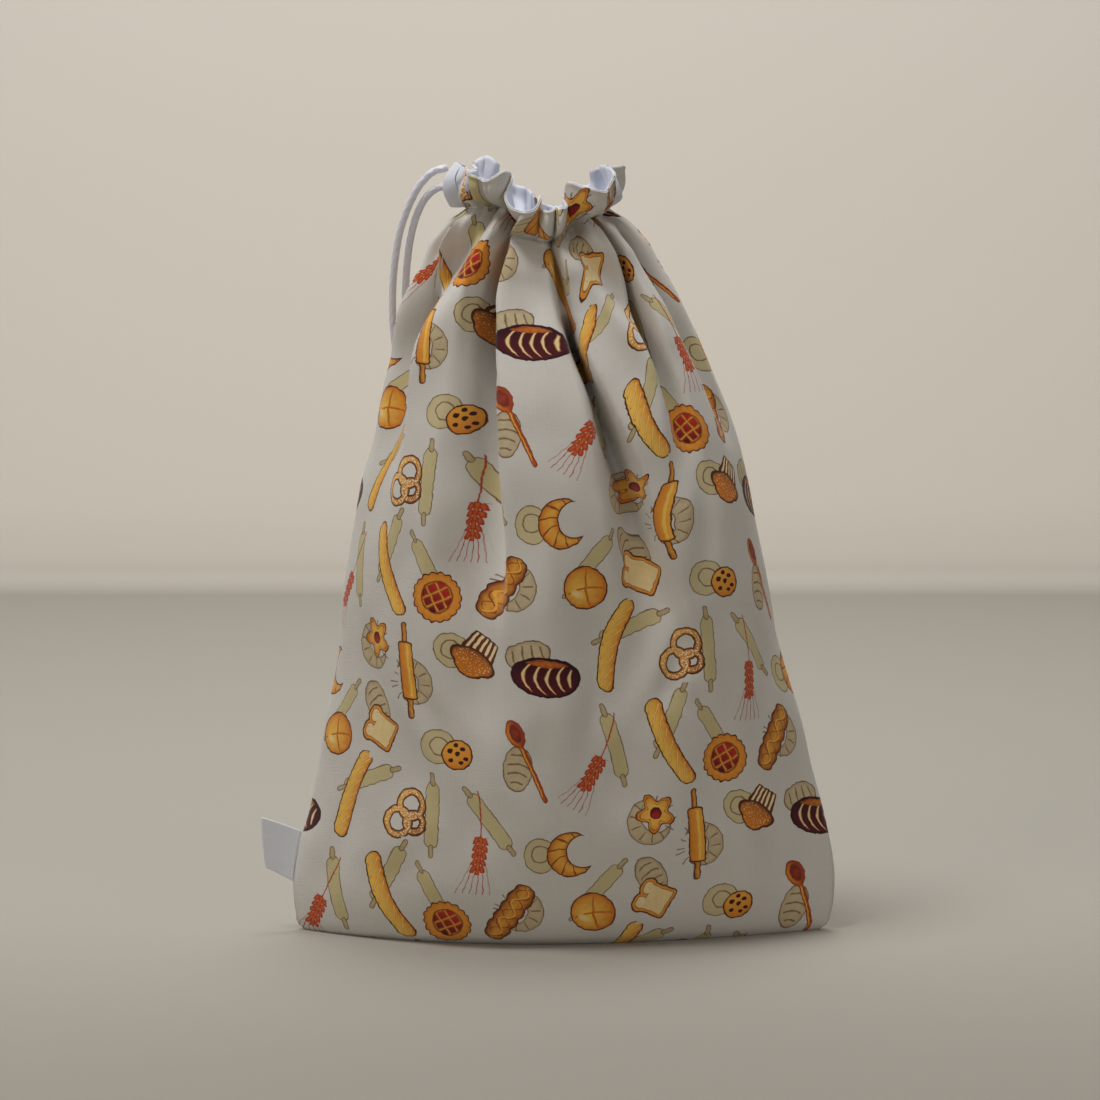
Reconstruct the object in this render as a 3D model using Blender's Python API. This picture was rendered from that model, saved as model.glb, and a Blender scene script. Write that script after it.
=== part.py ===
"""A lined drawstring bread bag of printed cotton, standing full and drawn in at its mouth."""

import math
from collections import namedtuple

import bmesh
import bpy
import numpy as np

# Lengths are in millimetres, and to_metres scales the finished points.
MILLIMETRE = 0.001

# Cloth layers, from the outside in
OUTER_WALL = 1.2
LAYER_GAP = 0.5
LINING_WALL = 1.1
PIECE_GAP = 0.4

# Points around the bag, levels up the casing above its stitch line, how its flare grows with
# them, and the step around the bag that reads its direction
COLUMNS = 72
CASING_LEVELS = (0.3, 0.65, 1.0)
CASING_FLARE = 1.3
TURN_STEP = 0.002

# The bag's sections from the floor to the casing's stitch line. Corner is 1 where the section
# is a pointed lens, as at the side seams of the base, and 0 where it is an ellipse.
Station = namedtuple("Station", "height left right front back corner")
STATIONS = (
    Station(0.0, -135.0, 133.5, -36.0, 36.0, 1.00),
    Station(2.5, -138.0, 137.0, -40.0, 40.0, 1.00),
    Station(9.0, -139.5, 139.5, -44.5, 44.5, 1.00),
    Station(22.0, -140.5, 141.0, -50.0, 50.0, 0.96),
    Station(42.0, -138.0, 139.5, -56.0, 56.0, 0.90),
    Station(66.0, -132.0, 134.0, -61.0, 61.5, 0.80),
    Station(96.0, -125.0, 126.5, -65.5, 66.5, 0.66),
    Station(130.0, -119.5, 117.5, -69.0, 70.0, 0.48),
    Station(165.0, -115.0, 109.5, -71.0, 71.0, 0.30),
    Station(200.0, -109.5, 103.0, -70.0, 69.5, 0.16),
    Station(232.0, -103.5, 96.0, -66.5, 66.0, 0.07),
    Station(262.0, -96.5, 87.5, -61.0, 60.5, 0.0),
    Station(288.0, -90.5, 78.0, -54.0, 54.0, 0.0),
    Station(310.0, -86.0, 68.5, -47.5, 47.5, 0.0),
    Station(328.0, -81.0, 60.0, -41.5, 41.5, 0.0),
    Station(343.0, -75.0, 51.5, -36.0, 36.0, 0.0),
    Station(356.0, -67.5, 42.5, -31.0, 31.0, 0.0),
    Station(366.0, -60.5, 34.5, -27.5, 27.5, 0.0),
    Station(375.0, -57.0, 30.0, -25.5, 25.5, 0.0),
)

# Folds that run down from the casing. At is the share of the way around from the left seam,
# along the front. Left and right are a fold's half widths there, deep its depth, foot the height
# where it dies out, lean how far it drifts around by then, and tuck how far the cloth on its
# right laps over it.
Fold = namedtuple("Fold", "at left right deep foot lean tuck")
FOLDS = (
    Fold(0.075, 0.036, 0.036, 10.0, 200.0, 0.004, 0.0),
    Fold(0.170, 0.064, 0.021, 24.0, 168.0, 0.026, 6.0),
    Fold(0.232, 0.019, 0.020, 5.0, 265.0, 0.004, 0.0),
    Fold(0.293, 0.036, 0.028, 23.0, 162.0, 0.012, -4.0),
    Fold(0.375, 0.034, 0.036, 12.0, 205.0, -0.006, 3.0),
    Fold(0.448, 0.028, 0.032, 8.0, 240.0, 0.000, 0.0),
    Fold(0.540, 0.034, 0.034, 11.0, 215.0, 0.000, 0.0),
    Fold(0.622, 0.032, 0.042, 20.0, 178.0, -0.010, 4.0),
    Fold(0.705, 0.036, 0.032, 15.0, 200.0, 0.008, 0.0),
    Fold(0.788, 0.032, 0.042, 21.0, 170.0, 0.006, -4.0),
    Fold(0.868, 0.034, 0.032, 12.0, 215.0, 0.000, 0.0),
    Fold(0.940, 0.030, 0.030, 8.0, 245.0, 0.000, 0.0),
)
STITCH_HEIGHT = 375.0
GATHER_HEIGHT = 335.0
FOLD_FULL_HEIGHT = 318.0
FOLD_AT_CASING = 0.42
FOLD_AT_EDGE = 0.25
TUCK_AT_CASING = 0.3

# Broad soft dents in the filled part: place around, height, half width around, half height, depth
Dent = namedtuple("Dent", "at height wide tall deep")
DENTS = (
    Dent(0.285, 150.0, 0.050, 46.0, 3.5),
    Dent(0.180, 132.0, 0.040, 50.0, 2.5),
    Dent(0.375, 88.0, 0.045, 34.0, 3.0),
    Dent(0.110, 92.0, 0.050, 40.0, 2.0),
    Dent(0.255, 44.0, 0.060, 22.0, 2.0),
    Dent(0.620, 120.0, 0.050, 44.0, 3.0),
    Dent(0.745, 82.0, 0.055, 36.0, 3.0),
    Dent(0.880, 128.0, 0.045, 44.0, 2.5),
)

# The casing's stitch line dips in the middle of the front and back, and the cloth under it
# hangs with it: place around, half widths to its left and right, and depth.
Dip = namedtuple("Dip", "at left right deep")
DIPS = (
    Dip(0.288, 0.115, 0.190, 16.0),
    Dip(0.728, 0.130, 0.120, 13.0),
)
DIP_FOOT = 265.0

# The front of the base bulges more on its left.
SKEW = 0.22
SKEW_TOP = 120.0

# The casing's folded top edge, by place around: its height above the stitch line, and how far it
# leans out. A lean below zero is the inside of a pleat.
Edge = namedtuple("Edge", "at height out")
RIM = (
    Edge(0.000, 20.0, 2.0),
    Edge(0.030, 22.0, 4.0),
    Edge(0.062, 21.0, 3.5),
    Edge(0.095, 20.0, -2.0),
    Edge(0.125, 19.0, 5.0),
    Edge(0.155, 14.5, 10.5),
    Edge(0.182, 19.0, 6.0),
    Edge(0.203, 18.0, -4.0),
    Edge(0.228, 8.5, 10.5),
    Edge(0.252, 19.0, 5.0),
    Edge(0.272, 18.0, -5.0),
    Edge(0.292, 14.0, 5.0),
    Edge(0.314, 24.0, -3.0),
    Edge(0.340, 25.0, 6.0),
    Edge(0.372, 14.5, 12.0),
    Edge(0.405, 18.0, 12.0),
    Edge(0.440, 22.5, 9.0),
    Edge(0.472, 22.0, 1.0),
    Edge(0.500, 20.0, 3.5),
    Edge(0.540, 20.0, -3.0),
    Edge(0.580, 21.0, 8.0),
    Edge(0.620, 19.0, 4.0),
    Edge(0.655, 20.0, -4.0),
    Edge(0.695, 13.0, 8.0),
    Edge(0.735, 13.5, 3.5),
    Edge(0.772, 17.0, -4.5),
    Edge(0.815, 18.0, 7.5),
    Edge(0.855, 24.5, 4.0),
    Edge(0.893, 20.0, -3.5),
    Edge(0.930, 17.0, 5.5),
    Edge(0.968, 20.0, 2.5),
)

# The white facing at the casing's open end, which laps over the casing's front left
FACING_FROM = 0.004
FACING_TO = 0.086
FACING_COLUMNS = 9
FACING_LEVELS = (-1.0, 0.1, 0.35, 0.6, 0.85, 1.05)
FACING_DROP = 3.0
FACING_SIDES = 0.86
FACING_WALL = 1.2
FACING_PUFF = 2.6

# The bare side label: how far it stands out of the left seam, and its height, top and thickness
LABEL_OUT = 15.5
LABEL_TALL = 32.0
LABEL_TOP = 59.0
LABEL_THICK = 1.0
LABEL_CURL = 4.0
LABEL_LIFT = 2.0
LABEL_STEPS = 6
LABEL_ROWS = 6

# The cord, and where its two ends run: out of the casing's open end, over in an arch, and down
# behind the bag's left side to a knot
CORD_THICK = 4.0
CORD_SIDES = 2
CORD_STEP = 9.0
UPPER_CORD = (
    (-59.6, 4.5, 395.2),
    (-66.5, 5.5, 393.2),
    (-73.0, 7.5, 387.2),
    (-79.0, 10.5, 377.0),
    (-84.0, 14.0, 363.5),
    (-87.0, 17.5, 348.0),
    (-88.5, 20.5, 331.5),
    (-88.5, 23.0, 315.0),
    (-87.0, 26.0, 299.0),
    (-85.5, 30.0, 282.0),
    (-84.5, 35.0, 264.0),
    (-83.5, 40.5, 246.5),
    (-82.0, 46.0, 230.5),
    (-80.0, 50.5, 216.0),
)
LOWER_CORD = (
    (-58.6, 3.5, 386.0),
    (-65.0, 5.5, 384.6),
    (-71.0, 9.0, 379.5),
    (-75.5, 13.0, 371.0),
    (-79.0, 17.0, 359.0),
    (-81.0, 20.5, 345.0),
    (-82.0, 24.0, 330.0),
    (-82.0, 27.5, 314.0),
    (-80.5, 31.5, 298.0),
    (-79.0, 36.0, 281.0),
    (-77.8, 41.0, 264.0),
    (-76.5, 46.0, 247.0),
    (-75.5, 50.5, 231.0),
    (-74.8, 53.5, 216.0),
)
KNOT_AT = (-77.5, 54.5, 207.0)
KNOT_SIZE = (7.0, 5.5, 7.5)
KNOT_TWIST = 0.16
KNOT_RINGS = 10
KNOT_SIDES = 14

# The cord's two free ends under the knot
LEFT_TAIL = (
    (-79.5, 54.0, 198.6),
    (-80.6, 54.5, 192.0),
    (-81.5, 54.5, 184.5),
    (-81.5, 54.0, 176.5),
)
RIGHT_TAIL = (
    (-75.0, 55.0, 198.6),
    (-73.8, 56.5, 191.0),
    (-73.0, 57.6, 182.5),
    (-73.0, 58.0, 173.0),
)


def to_metres(points):
    return [tuple(float(c) * MILLIMETRE for c in p) for p in np.asarray(points, float)]


def column(table, name):
    return np.array([getattr(row, name) for row in table], float)


def ease(value, start, end):
    """0 before start, 1 after end, with a soft turn at both."""
    share = np.clip((np.asarray(value, float) - start) / (end - start), 0.0, 1.0)
    return share * share * (3.0 - 2.0 * share)


def smooth_curve(at, known_at, known):
    """A smooth curve through known points, read at the places given."""
    slope = np.gradient(known, known_at)
    at = np.clip(at, known_at[0], known_at[-1])
    i = np.clip(np.searchsorted(known_at, at, side="right") - 1, 0, len(known_at) - 2)
    span = known_at[i + 1] - known_at[i]
    t = (at - known_at[i]) / span
    start, end = known[i], known[i + 1]
    lead, trail = slope[i] * span, slope[i + 1] * span
    return (
        start * (2 * t**3 - 3 * t**2 + 1)
        + lead * (t**3 - 2 * t**2 + t)
        + end * (3 * t**2 - 2 * t**3)
        + trail * (t**3 - t**2)
    )


def round_curve(turn, known_at, known):
    """The same for values that go once around the bag and meet themselves."""
    wrapped_at = np.concatenate([known_at - 1.0, known_at, known_at + 1.0])
    return smooth_curve(turn % 1.0, wrapped_at, np.tile(known, 3))


def around(turn, centre):
    """The signed way around the bag from a place, between -0.5 and 0.5."""
    return (turn - centre + 0.5) % 1.0 - 0.5


def bump(offset, left, right):
    """1 at zero, and softly down to 0 at each half width."""
    share = np.abs(offset) / np.where(offset < 0, left, right)
    return np.where(share < 1.0, 0.5 + 0.5 * np.cos(math.pi * np.clip(share, 0, 1)), 0.0)


def bare_section(turn, height):
    """The section without its folds, at places around the bag and heights of the same shape."""
    heights = column(STATIONS, "height")
    size = {
        name: smooth_curve(height, heights, column(STATIONS, name))
        for name in ("left", "right", "front", "back", "corner")
    }
    turn = turn % 1.0
    on_front = turn < 0.5
    way = np.where(on_front, 2.0 * turn, 2.0 - 2.0 * turn)
    corner = np.clip(size["corner"], 0.0, 1.0)
    across = corner * (2.0 * way - 1.0) - (1.0 - corner) * np.cos(math.pi * way)
    bulge = np.clip(1.0 - across**2, 0.0, 1.0) ** (0.5 + 0.5 * corner)
    lean = 1.0 - SKEW * across * (1.0 - ease(height, 0.0, SKEW_TOP))
    x = 0.5 * (size["left"] + size["right"]) + 0.5 * (size["right"] - size["left"]) * across
    y = bulge * np.where(on_front, size["front"] * lean, size["back"])
    return np.stack([x, y], axis=-1)


def fold_moves(turn, height):
    """How far the folds and dents take the cloth in, and sideways, at these places."""
    inward = np.zeros_like(turn)
    sideways = np.zeros_like(turn)
    gather = ease(height, GATHER_HEIGHT, STITCH_HEIGHT)
    for fold in FOLDS:
        rise = ease(height, fold.foot, FOLD_FULL_HEIGHT)
        drop = np.clip((STITCH_HEIGHT - height) / (STITCH_HEIGHT - fold.foot), 0.0, 1.0)
        offset = around(turn, fold.at + fold.lean * drop)
        deep = fold.deep * rise * (1.0 - (1.0 - FOLD_AT_CASING) * gather)
        inward += deep * bump(offset, fold.left, fold.right)
        tuck = fold.tuck * rise * (1.0 - (1.0 - TUCK_AT_CASING) * gather)
        sideways -= tuck * bump(offset - fold.right, fold.right, fold.right)
    for dent in DENTS:
        beside = bump(around(turn, dent.at), dent.wide, dent.wide)
        inward += dent.deep * beside * bump(height - dent.height, dent.tall, dent.tall)
    return inward, sideways


def wall_points(turn, height, casing=0.0):
    """The bag's outer face. Casing is 0 at the casing's stitch line and 1 at its top edge."""
    turn = np.asarray(turn, float)
    height = np.broadcast_to(np.asarray(height, float), turn.shape)
    spot = bare_section(turn, height)
    along = bare_section(turn + TURN_STEP, height) - bare_section(turn - TURN_STEP, height)
    along /= np.linalg.norm(along, axis=-1, keepdims=True)
    outward = np.stack([along[..., 1], -along[..., 0]], axis=-1)
    inward, sideways = fold_moves(turn, height)
    edge_height, edge_out = (
        round_curve(turn, column(RIM, "at"), column(RIM, name)) for name in ("height", "out")
    )
    fold_left = 1.0 - (1.0 - FOLD_AT_EDGE) * ease(casing, 0.0, 0.8)
    out = edge_out * casing**CASING_FLARE - inward * fold_left
    spot = spot + outward * out[..., None] + along * (sideways * (1.0 - casing))[..., None]
    dip = sum(dip.deep * bump(around(turn, dip.at), dip.left, dip.right) for dip in DIPS)
    level = height - dip * ease(height, DIP_FOOT, STITCH_HEIGHT) + edge_height * casing
    return np.concatenate([spot, level[..., None]], axis=-1)


def lifted(turn, height, casing, lift):
    """Points off the outer face, level with it and square to its way around."""
    ahead = wall_points(turn + TURN_STEP, height, casing)
    along = ahead - wall_points(turn - TURN_STEP, height, casing)
    outward = np.stack([along[:, 1], -along[:, 0]], axis=1)
    outward /= np.linalg.norm(outward, axis=1, keepdims=True)
    points = wall_points(turn, height, casing)
    points[:, :2] += outward * lift[:, None]
    return points


def set_in(ring, depth):
    """A closed ring of points moved in level by the same distance all along its edges."""
    edge = np.roll(ring, -1, axis=0)[:, :2] - ring[:, :2]
    edge /= np.linalg.norm(edge, axis=1, keepdims=True)
    out = np.stack([edge[:, 1], -edge[:, 0]], axis=1)
    mean = out + np.roll(out, 1, axis=0)
    mean /= np.linalg.norm(mean, axis=1, keepdims=True)
    reach = 1.0 / np.clip((mean * out).sum(axis=1), 0.55, 1.0)
    moved = ring.copy()
    moved[:, :2] -= mean * (reach * depth)[:, None]
    moved[:, 2] = np.maximum(moved[:, 2], depth)
    return moved


def wall_rings():
    turn = np.arange(COLUMNS) / COLUMNS
    rings = [wall_points(turn, station.height) for station in STATIONS]
    return rings + [wall_points(turn, STITCH_HEIGHT, level) for level in CASING_LEVELS]


def turned(face):
    """The same face seen from its other side, with its first and third corners in place."""
    return (face[0],) + face[:0:-1]


def layer(rings, outside, inside):
    """A hollow layer of the bag between two depths, closed at its rim and its floor."""
    grids = [[set_in(ring, depth) for ring in rings] for depth in (outside, inside)]
    points = np.concatenate([ring for grid in grids for ring in grid])
    rows, half = len(rings), COLUMNS // 2

    def spot(side, row, turn):
        return (side * rows + row) * COLUMNS + turn % COLUMNS

    faces = []
    for side in (0, 1):
        for row in range(rows - 1):
            for turn in range(COLUMNS):
                face = (
                    spot(side, row, turn),
                    spot(side, row, turn + 1),
                    spot(side, row + 1, turn + 1),
                    spot(side, row + 1, turn),
                )
                faces.append(turned(face) if side else face)
        for turn in range(half):
            across = (turn, COLUMNS - turn, COLUMNS - turn - 1, turn + 1)
            face = tuple(dict.fromkeys(spot(side, 0, corner) for corner in across))
            faces.append(turned(face) if side else face)
    last = rows - 1
    for turn in range(COLUMNS):
        edge = (spot(0, last, turn), spot(0, last, turn + 1))
        faces.append(edge + (spot(1, last, turn + 1), spot(1, last, turn)))
    return points, faces


def slab(sheets):
    """A closed slab between two sheets of rows of points, the first seen from its back."""
    points = np.concatenate([row for sheet in sheets for row in sheet])
    rows, wide = len(sheets[0]), len(sheets[0][0])

    def spot(side, row, step):
        return (side * rows + row) * wide + step

    faces = []
    for side in (0, 1):
        for row in range(rows - 1):
            for step in range(wide - 1):
                face = (
                    spot(side, row, step),
                    spot(side, row, step + 1),
                    spot(side, row + 1, step + 1),
                    spot(side, row + 1, step),
                )
                faces.append(face if side else turned(face))
    border = [(0, step) for step in range(wide)]
    border += [(row, wide - 1) for row in range(1, rows)]
    border += [(rows - 1, step) for step in range(wide - 2, -1, -1)]
    border += [(row, 0) for row in range(rows - 2, 0, -1)]
    for here, ahead in zip(border, border[1:] + border[:1]):
        faces.append((spot(0, *here), spot(0, *ahead), spot(1, *ahead), spot(1, *here)))
    return points, faces


def facing():
    """The white patch over the casing's open end: a shell that puffs off the cloth under it."""
    turns = np.linspace(FACING_FROM, FACING_TO, FACING_COLUMNS)
    crown = np.sin(np.linspace(0.0, math.pi, FACING_COLUMNS))
    sheets = []
    for lift in (PIECE_GAP, PIECE_GAP + FACING_WALL):
        sheet = []
        for level in FACING_LEVELS:
            height = STITCH_HEIGHT - max(-level, 0.0) * FACING_DROP
            up = max(level, 0.0) * (FACING_SIDES + (1.0 - FACING_SIDES) * crown)
            puff = FACING_PUFF * crown * math.sin(math.pi * max(level, 0.0) * 0.8)
            sheet.append(lifted(turns, height, up, lift + puff))
        sheets.append(sheet)
    return slab(sheets)


def label():
    """A folded tape, sewn into the left seam and curling a little to the front."""
    out = np.linspace(1.0, 0.0, LABEL_STEPS + 1)
    sheets = []
    for side in (0.5, -0.5):
        sheet = []
        for level in np.linspace(LABEL_TOP - LABEL_TALL, LABEL_TOP, LABEL_ROWS):
            seam = wall_points(np.zeros(1), level)[0, 0]
            x = seam - LAYER_GAP - LABEL_OUT * out
            y = side * LABEL_THICK - LABEL_CURL * out**2
            sheet.append(np.stack([x, y, level + LABEL_LIFT * out], axis=1))
        sheets.append(sheet)
    return slab(sheets)


def route(points, step):
    """Points a step apart on a smooth curve through the route's own points."""
    known = np.array(points, float)
    chord = np.linalg.norm(np.diff(known, axis=0), axis=1)
    along = np.concatenate([[0.0], np.cumsum(chord)])
    fine = np.linspace(0.0, along[-1], 400)
    dense = np.stack([smooth_curve(fine, along, known[:, k]) for k in range(3)], axis=1)
    run = np.concatenate([[0.0], np.cumsum(np.linalg.norm(np.diff(dense, axis=0), axis=1))])
    at = np.linspace(0.0, run[-1], int(round(run[-1] / step)) + 1)
    return np.stack([np.interp(at, run, dense[:, k]) for k in range(3)], axis=1)


def knot():
    """The knot that joins the cord's two ends, with its short tails fused under it."""
    mesh = bmesh.new()
    rings = []
    centre = np.array(KNOT_AT)
    for ring in range(1, KNOT_RINGS):
        tilt = math.pi * ring / KNOT_RINGS
        level = math.cos(tilt)
        points = []
        for side in range(KNOT_SIDES):
            angle = 2 * math.pi * side / KNOT_SIDES
            lobe = 1.0 + KNOT_TWIST * math.cos(3 * angle + 4.0 * level)
            flat = math.sin(tilt) * lobe
            offset = (
                KNOT_SIZE[0] * flat * math.cos(angle),
                KNOT_SIZE[1] * flat * math.sin(angle),
                KNOT_SIZE[2] * level,
            )
            points.append(mesh.verts.new((centre + np.array(offset)) * MILLIMETRE))
        rings.append(points)
    poles = [
        mesh.verts.new((centre + np.array((0.0, 0.0, end * KNOT_SIZE[2]))) * MILLIMETRE)
        for end in (1.0, -1.0)
    ]
    for upper, lower in zip(rings, rings[1:]):
        for side in range(KNOT_SIDES):
            ahead = (side + 1) % KNOT_SIDES
            mesh.faces.new((upper[side], lower[side], lower[ahead], upper[ahead]))
    for side in range(KNOT_SIDES):
        ahead = (side + 1) % KNOT_SIDES
        mesh.faces.new((poles[0], rings[0][side], rings[0][ahead]))
        mesh.faces.new((poles[1], rings[-1][ahead], rings[-1][side]))
    return mesh


def finish(name, mesh, colour, roughness):
    """Gives a shape its object, its material and its smooth shading."""
    shape = bpy.data.meshes.new(name)
    bmesh.ops.recalc_face_normals(mesh, faces=mesh.faces)
    mesh.to_mesh(shape)
    mesh.free()
    made = bpy.data.objects.new(name, shape)
    bpy.context.scene.collection.objects.link(made)
    dress(made, colour, roughness)
    shape.shade_smooth()
    return made


def dress(made, colour, roughness):
    material = bpy.data.materials.new(made.name)
    material.use_nodes = True
    shader = material.node_tree.nodes["Principled BSDF"]
    shader.inputs["Base Color"].default_value = (*colour, 1.0)
    shader.inputs["Roughness"].default_value = roughness
    shader.inputs["Metallic"].default_value = 0.0
    made.data.materials.append(material)


def solid(name, points, faces, colour, roughness):
    mesh = bmesh.new()
    spots = [mesh.verts.new(p) for p in to_metres(points)]
    for face in faces:
        mesh.faces.new([spots[i] for i in face])
    many = [face for face in mesh.faces if len(face.verts) > 3]
    bmesh.ops.triangulate(mesh, faces=many, quad_method="FIXED")
    return finish(name, mesh, colour, roughness)


def tube(name, points, colour, roughness):
    curve = bpy.data.curves.new(name, "CURVE")
    curve.dimensions = "3D"
    curve.bevel_depth = 0.5 * CORD_THICK * MILLIMETRE
    curve.bevel_resolution = CORD_SIDES
    curve.use_fill_caps = True
    line = curve.splines.new("POLY")
    spots = to_metres(points)
    line.points.add(len(spots) - 1)
    for spot, place in zip(line.points, spots):
        spot.co = (*place, 1.0)
    made = bpy.data.objects.new(name, curve)
    bpy.context.scene.collection.objects.link(made)
    dress(made, colour, roughness)
    return made


def build():
    for old in list(bpy.data.objects):
        bpy.data.objects.remove(old, do_unlink=True)
    printed = (0.66, 0.60, 0.50)
    white = (0.72, 0.75, 0.84)
    rings = wall_rings()
    solid("bag_outer", *layer(rings, 0.0, OUTER_WALL), printed, 0.85)
    start = OUTER_WALL + LAYER_GAP
    solid("lining", *layer(rings, start, start + LINING_WALL), white, 0.85)
    solid("casing_facing", *facing(), white, 0.85)
    solid("side_label", *label(), white, 0.7)
    tube("cord_upper", route(UPPER_CORD, CORD_STEP), white, 0.7)
    tube("cord_lower", route(LOWER_CORD, CORD_STEP), white, 0.7)
    tube("tail_left", route(LEFT_TAIL, CORD_STEP), white, 0.7)
    tube("tail_right", route(RIGHT_TAIL, CORD_STEP), white, 0.7)
    finish("cord_knot", knot(), white, 0.7)


build()
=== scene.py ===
# Drawstring bread bag of printed cotton, lined in white. Lengths are in mm until a mesh is made.
import math
import random
from collections import namedtuple

import bpy
import numpy as np
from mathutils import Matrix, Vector, noise


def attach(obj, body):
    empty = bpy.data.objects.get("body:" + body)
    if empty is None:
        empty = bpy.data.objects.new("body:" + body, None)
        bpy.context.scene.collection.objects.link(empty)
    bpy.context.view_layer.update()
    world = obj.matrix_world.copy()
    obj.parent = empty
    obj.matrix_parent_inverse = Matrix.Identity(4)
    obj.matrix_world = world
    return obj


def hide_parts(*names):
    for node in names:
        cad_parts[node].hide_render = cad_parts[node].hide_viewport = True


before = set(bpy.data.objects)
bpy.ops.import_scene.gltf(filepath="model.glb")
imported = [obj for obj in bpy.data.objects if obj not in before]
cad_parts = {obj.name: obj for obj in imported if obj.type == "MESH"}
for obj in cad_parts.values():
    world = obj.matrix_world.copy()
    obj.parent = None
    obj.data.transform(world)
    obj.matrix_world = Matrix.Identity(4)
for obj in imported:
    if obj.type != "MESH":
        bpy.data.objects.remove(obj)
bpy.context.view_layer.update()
mm = 0.001


# ---- small helpers for tables and meshes
def table(names, *rows):
    Row = namedtuple("Row", names)
    return [Row(*row) for row in rows]


def column(rows, name):
    return np.array([getattr(row, name) for row in rows], float)


def ease(value, start, end):
    share = np.clip((np.asarray(value, float) - start) / (end - start), 0.0, 1.0)
    return share * share * (3.0 - 2.0 * share)


def smoothCurve(at, knownAt, known):
    slope = np.gradient(known, knownAt)
    at = np.clip(at, knownAt[0], knownAt[-1])
    i = np.clip(np.searchsorted(knownAt, at, side="right") - 1, 0, len(knownAt) - 2)
    span = knownAt[i + 1] - knownAt[i]
    t = (at - knownAt[i]) / span
    return (
        known[i] * (2 * t**3 - 3 * t**2 + 1)
        + slope[i] * span * (t**3 - 2 * t**2 + t)
        + known[i + 1] * (3 * t**2 - 2 * t**3)
        + slope[i + 1] * span * (t**3 - t**2)
    )


def roundCurve(turn, knownAt, known):
    wrappedAt = np.concatenate([knownAt - 1.0, knownAt, knownAt + 1.0])
    return smoothCurve(turn % 1.0, wrappedAt, np.tile(known, 3))


def around(turn, centre):
    return (turn - centre + 0.5) % 1.0 - 0.5


def bump(offset, left, right):
    share = np.abs(offset) / np.where(offset < 0, left, right)
    return np.where(share < 1.0, 0.5 + 0.5 * np.cos(math.pi * np.clip(share, 0, 1)), 0.0)


def cusp(offset, left, right, power=1.7):  # as wide as bump, but pinched to a crease
    share = np.abs(offset) / np.where(offset < 0, left, right)
    return np.clip(1.0 - share, 0, 1) ** power


def makeMesh(name, points, faces, materials, maps=None, slots=None):
    mesh = bpy.data.meshes.new(name)
    mesh.from_pydata((np.asarray(points, float) * mm).tolist(), [], faces)
    for material in materials:
        mesh.materials.append(material)
    if slots is not None:
        mesh.polygons.foreach_set("material_index", np.asarray(slots, np.int32))
    for title, places in (maps or {}).items():
        layer = mesh.uv_layers.new(name=title)
        layer.data.foreach_set("uv", np.asarray(places, np.float32).ravel())
    mesh.shade_smooth()
    mesh.update()
    made = bpy.data.objects.new(name, mesh)
    bpy.context.scene.collection.objects.link(made)
    return made


def pathPoints(points, step, samples=800):
    known = np.array(points, float)
    chord = np.linalg.norm(np.diff(known, axis=0), axis=1)
    along = np.concatenate([[0.0], np.cumsum(chord)])
    fine = np.linspace(0.0, along[-1], samples)
    dense = np.stack([smoothCurve(fine, along, known[:, k]) for k in range(3)], axis=1)
    run = np.concatenate([[0.0], np.cumsum(np.linalg.norm(np.diff(dense, axis=0), axis=1))])
    at = np.linspace(0.0, run[-1], int(round(run[-1] / step)) + 1)
    return np.stack([np.interp(at, run, dense[:, k]) for k in range(3)], axis=1)


def pathLength(points):
    return float(np.linalg.norm(np.diff(points, axis=0), axis=1).sum())


# ---- shader helpers: a number in a node tree that is added, scaled and compared like any other
class Num:
    def __init__(self, tree, socket):
        self.tree, self.socket = tree, socket

    def does(self, kind, *others):
        node = addNode(self.tree, "Math", dict(enumerate((self, *others))), operation=kind)
        return Num(self.tree, node.outputs[0])

    def __add__(self, other):
        return self.does("ADD", other)

    def __sub__(self, other):
        return self.does("SUBTRACT", other)

    def __mul__(self, other):
        return self.does("MULTIPLY", other)

    def __truediv__(self, other):
        return self.does("DIVIDE", other)

    def __abs__(self):
        return self.does("ABSOLUTE")

    def __rsub__(self, other):
        return self * -1.0 + other

    __radd__ = __add__
    __rmul__ = __mul__


def addNode(tree, kind, inputs=None, **settings):  # an input is linked, or else has its value set
    node = tree.nodes.new("ShaderNode" + kind)
    for name, value in settings.items():
        setattr(node, name, value)
    for name, value in (inputs or {}).items():
        source = value.socket if isinstance(value, Num) else value
        if isinstance(source, bpy.types.NodeSocket):
            tree.links.new(source, node.inputs[name])
        else:
            node.inputs[name].default_value = source
    return node


def splitPlace(tree, place):
    node = addNode(tree, "SeparateXYZ", {0: place})
    return [Num(tree, part) for part in node.outputs]


def low(first, *others):
    for other in others:
        first = first.does("MINIMUM", other)
    return first


def high(first, *others):
    for other in others:
        first = first.does("MAXIMUM", other)
    return first


def clamp(value):
    return low(high(value, 0.0), 1.0)


def reachOf(x, y):
    return (x * x + y * y).does("SQRT")


def angleOf(x, y):
    return y.does("ARCTAN2", x)


def wave(value):
    return value.does("SINE")


def swing(value):
    return value.does("COSINE")


def repeat(value, pitch):  # the way to the middle of the nearest of many equal strips
    return (value / pitch).does("FRACT") * pitch - 0.5 * pitch


def spun(x, y, degrees):
    c, s = math.cos(math.radians(degrees)), math.sin(math.radians(degrees))
    return x * c + y * s, y * c - x * s


# ---- camera, floor and light
view = {
    "eye": (-7.0, -1790.1, 387.2),
    "tilt": 6.0,  # degrees down
    "lens": 114.15,
    "sensor": 36.0,
    "clipEnd": 50.0,
}
stageSizes = {
    "half": 9000.0,
    "front": -9000.0,
    "wallAt": 1505.0,
    "bend": 24.0,
    "bendSteps": 12,
    "tall": 3000.0,
    "roughness": 0.8,
    "specular": 0.25,
}
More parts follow.
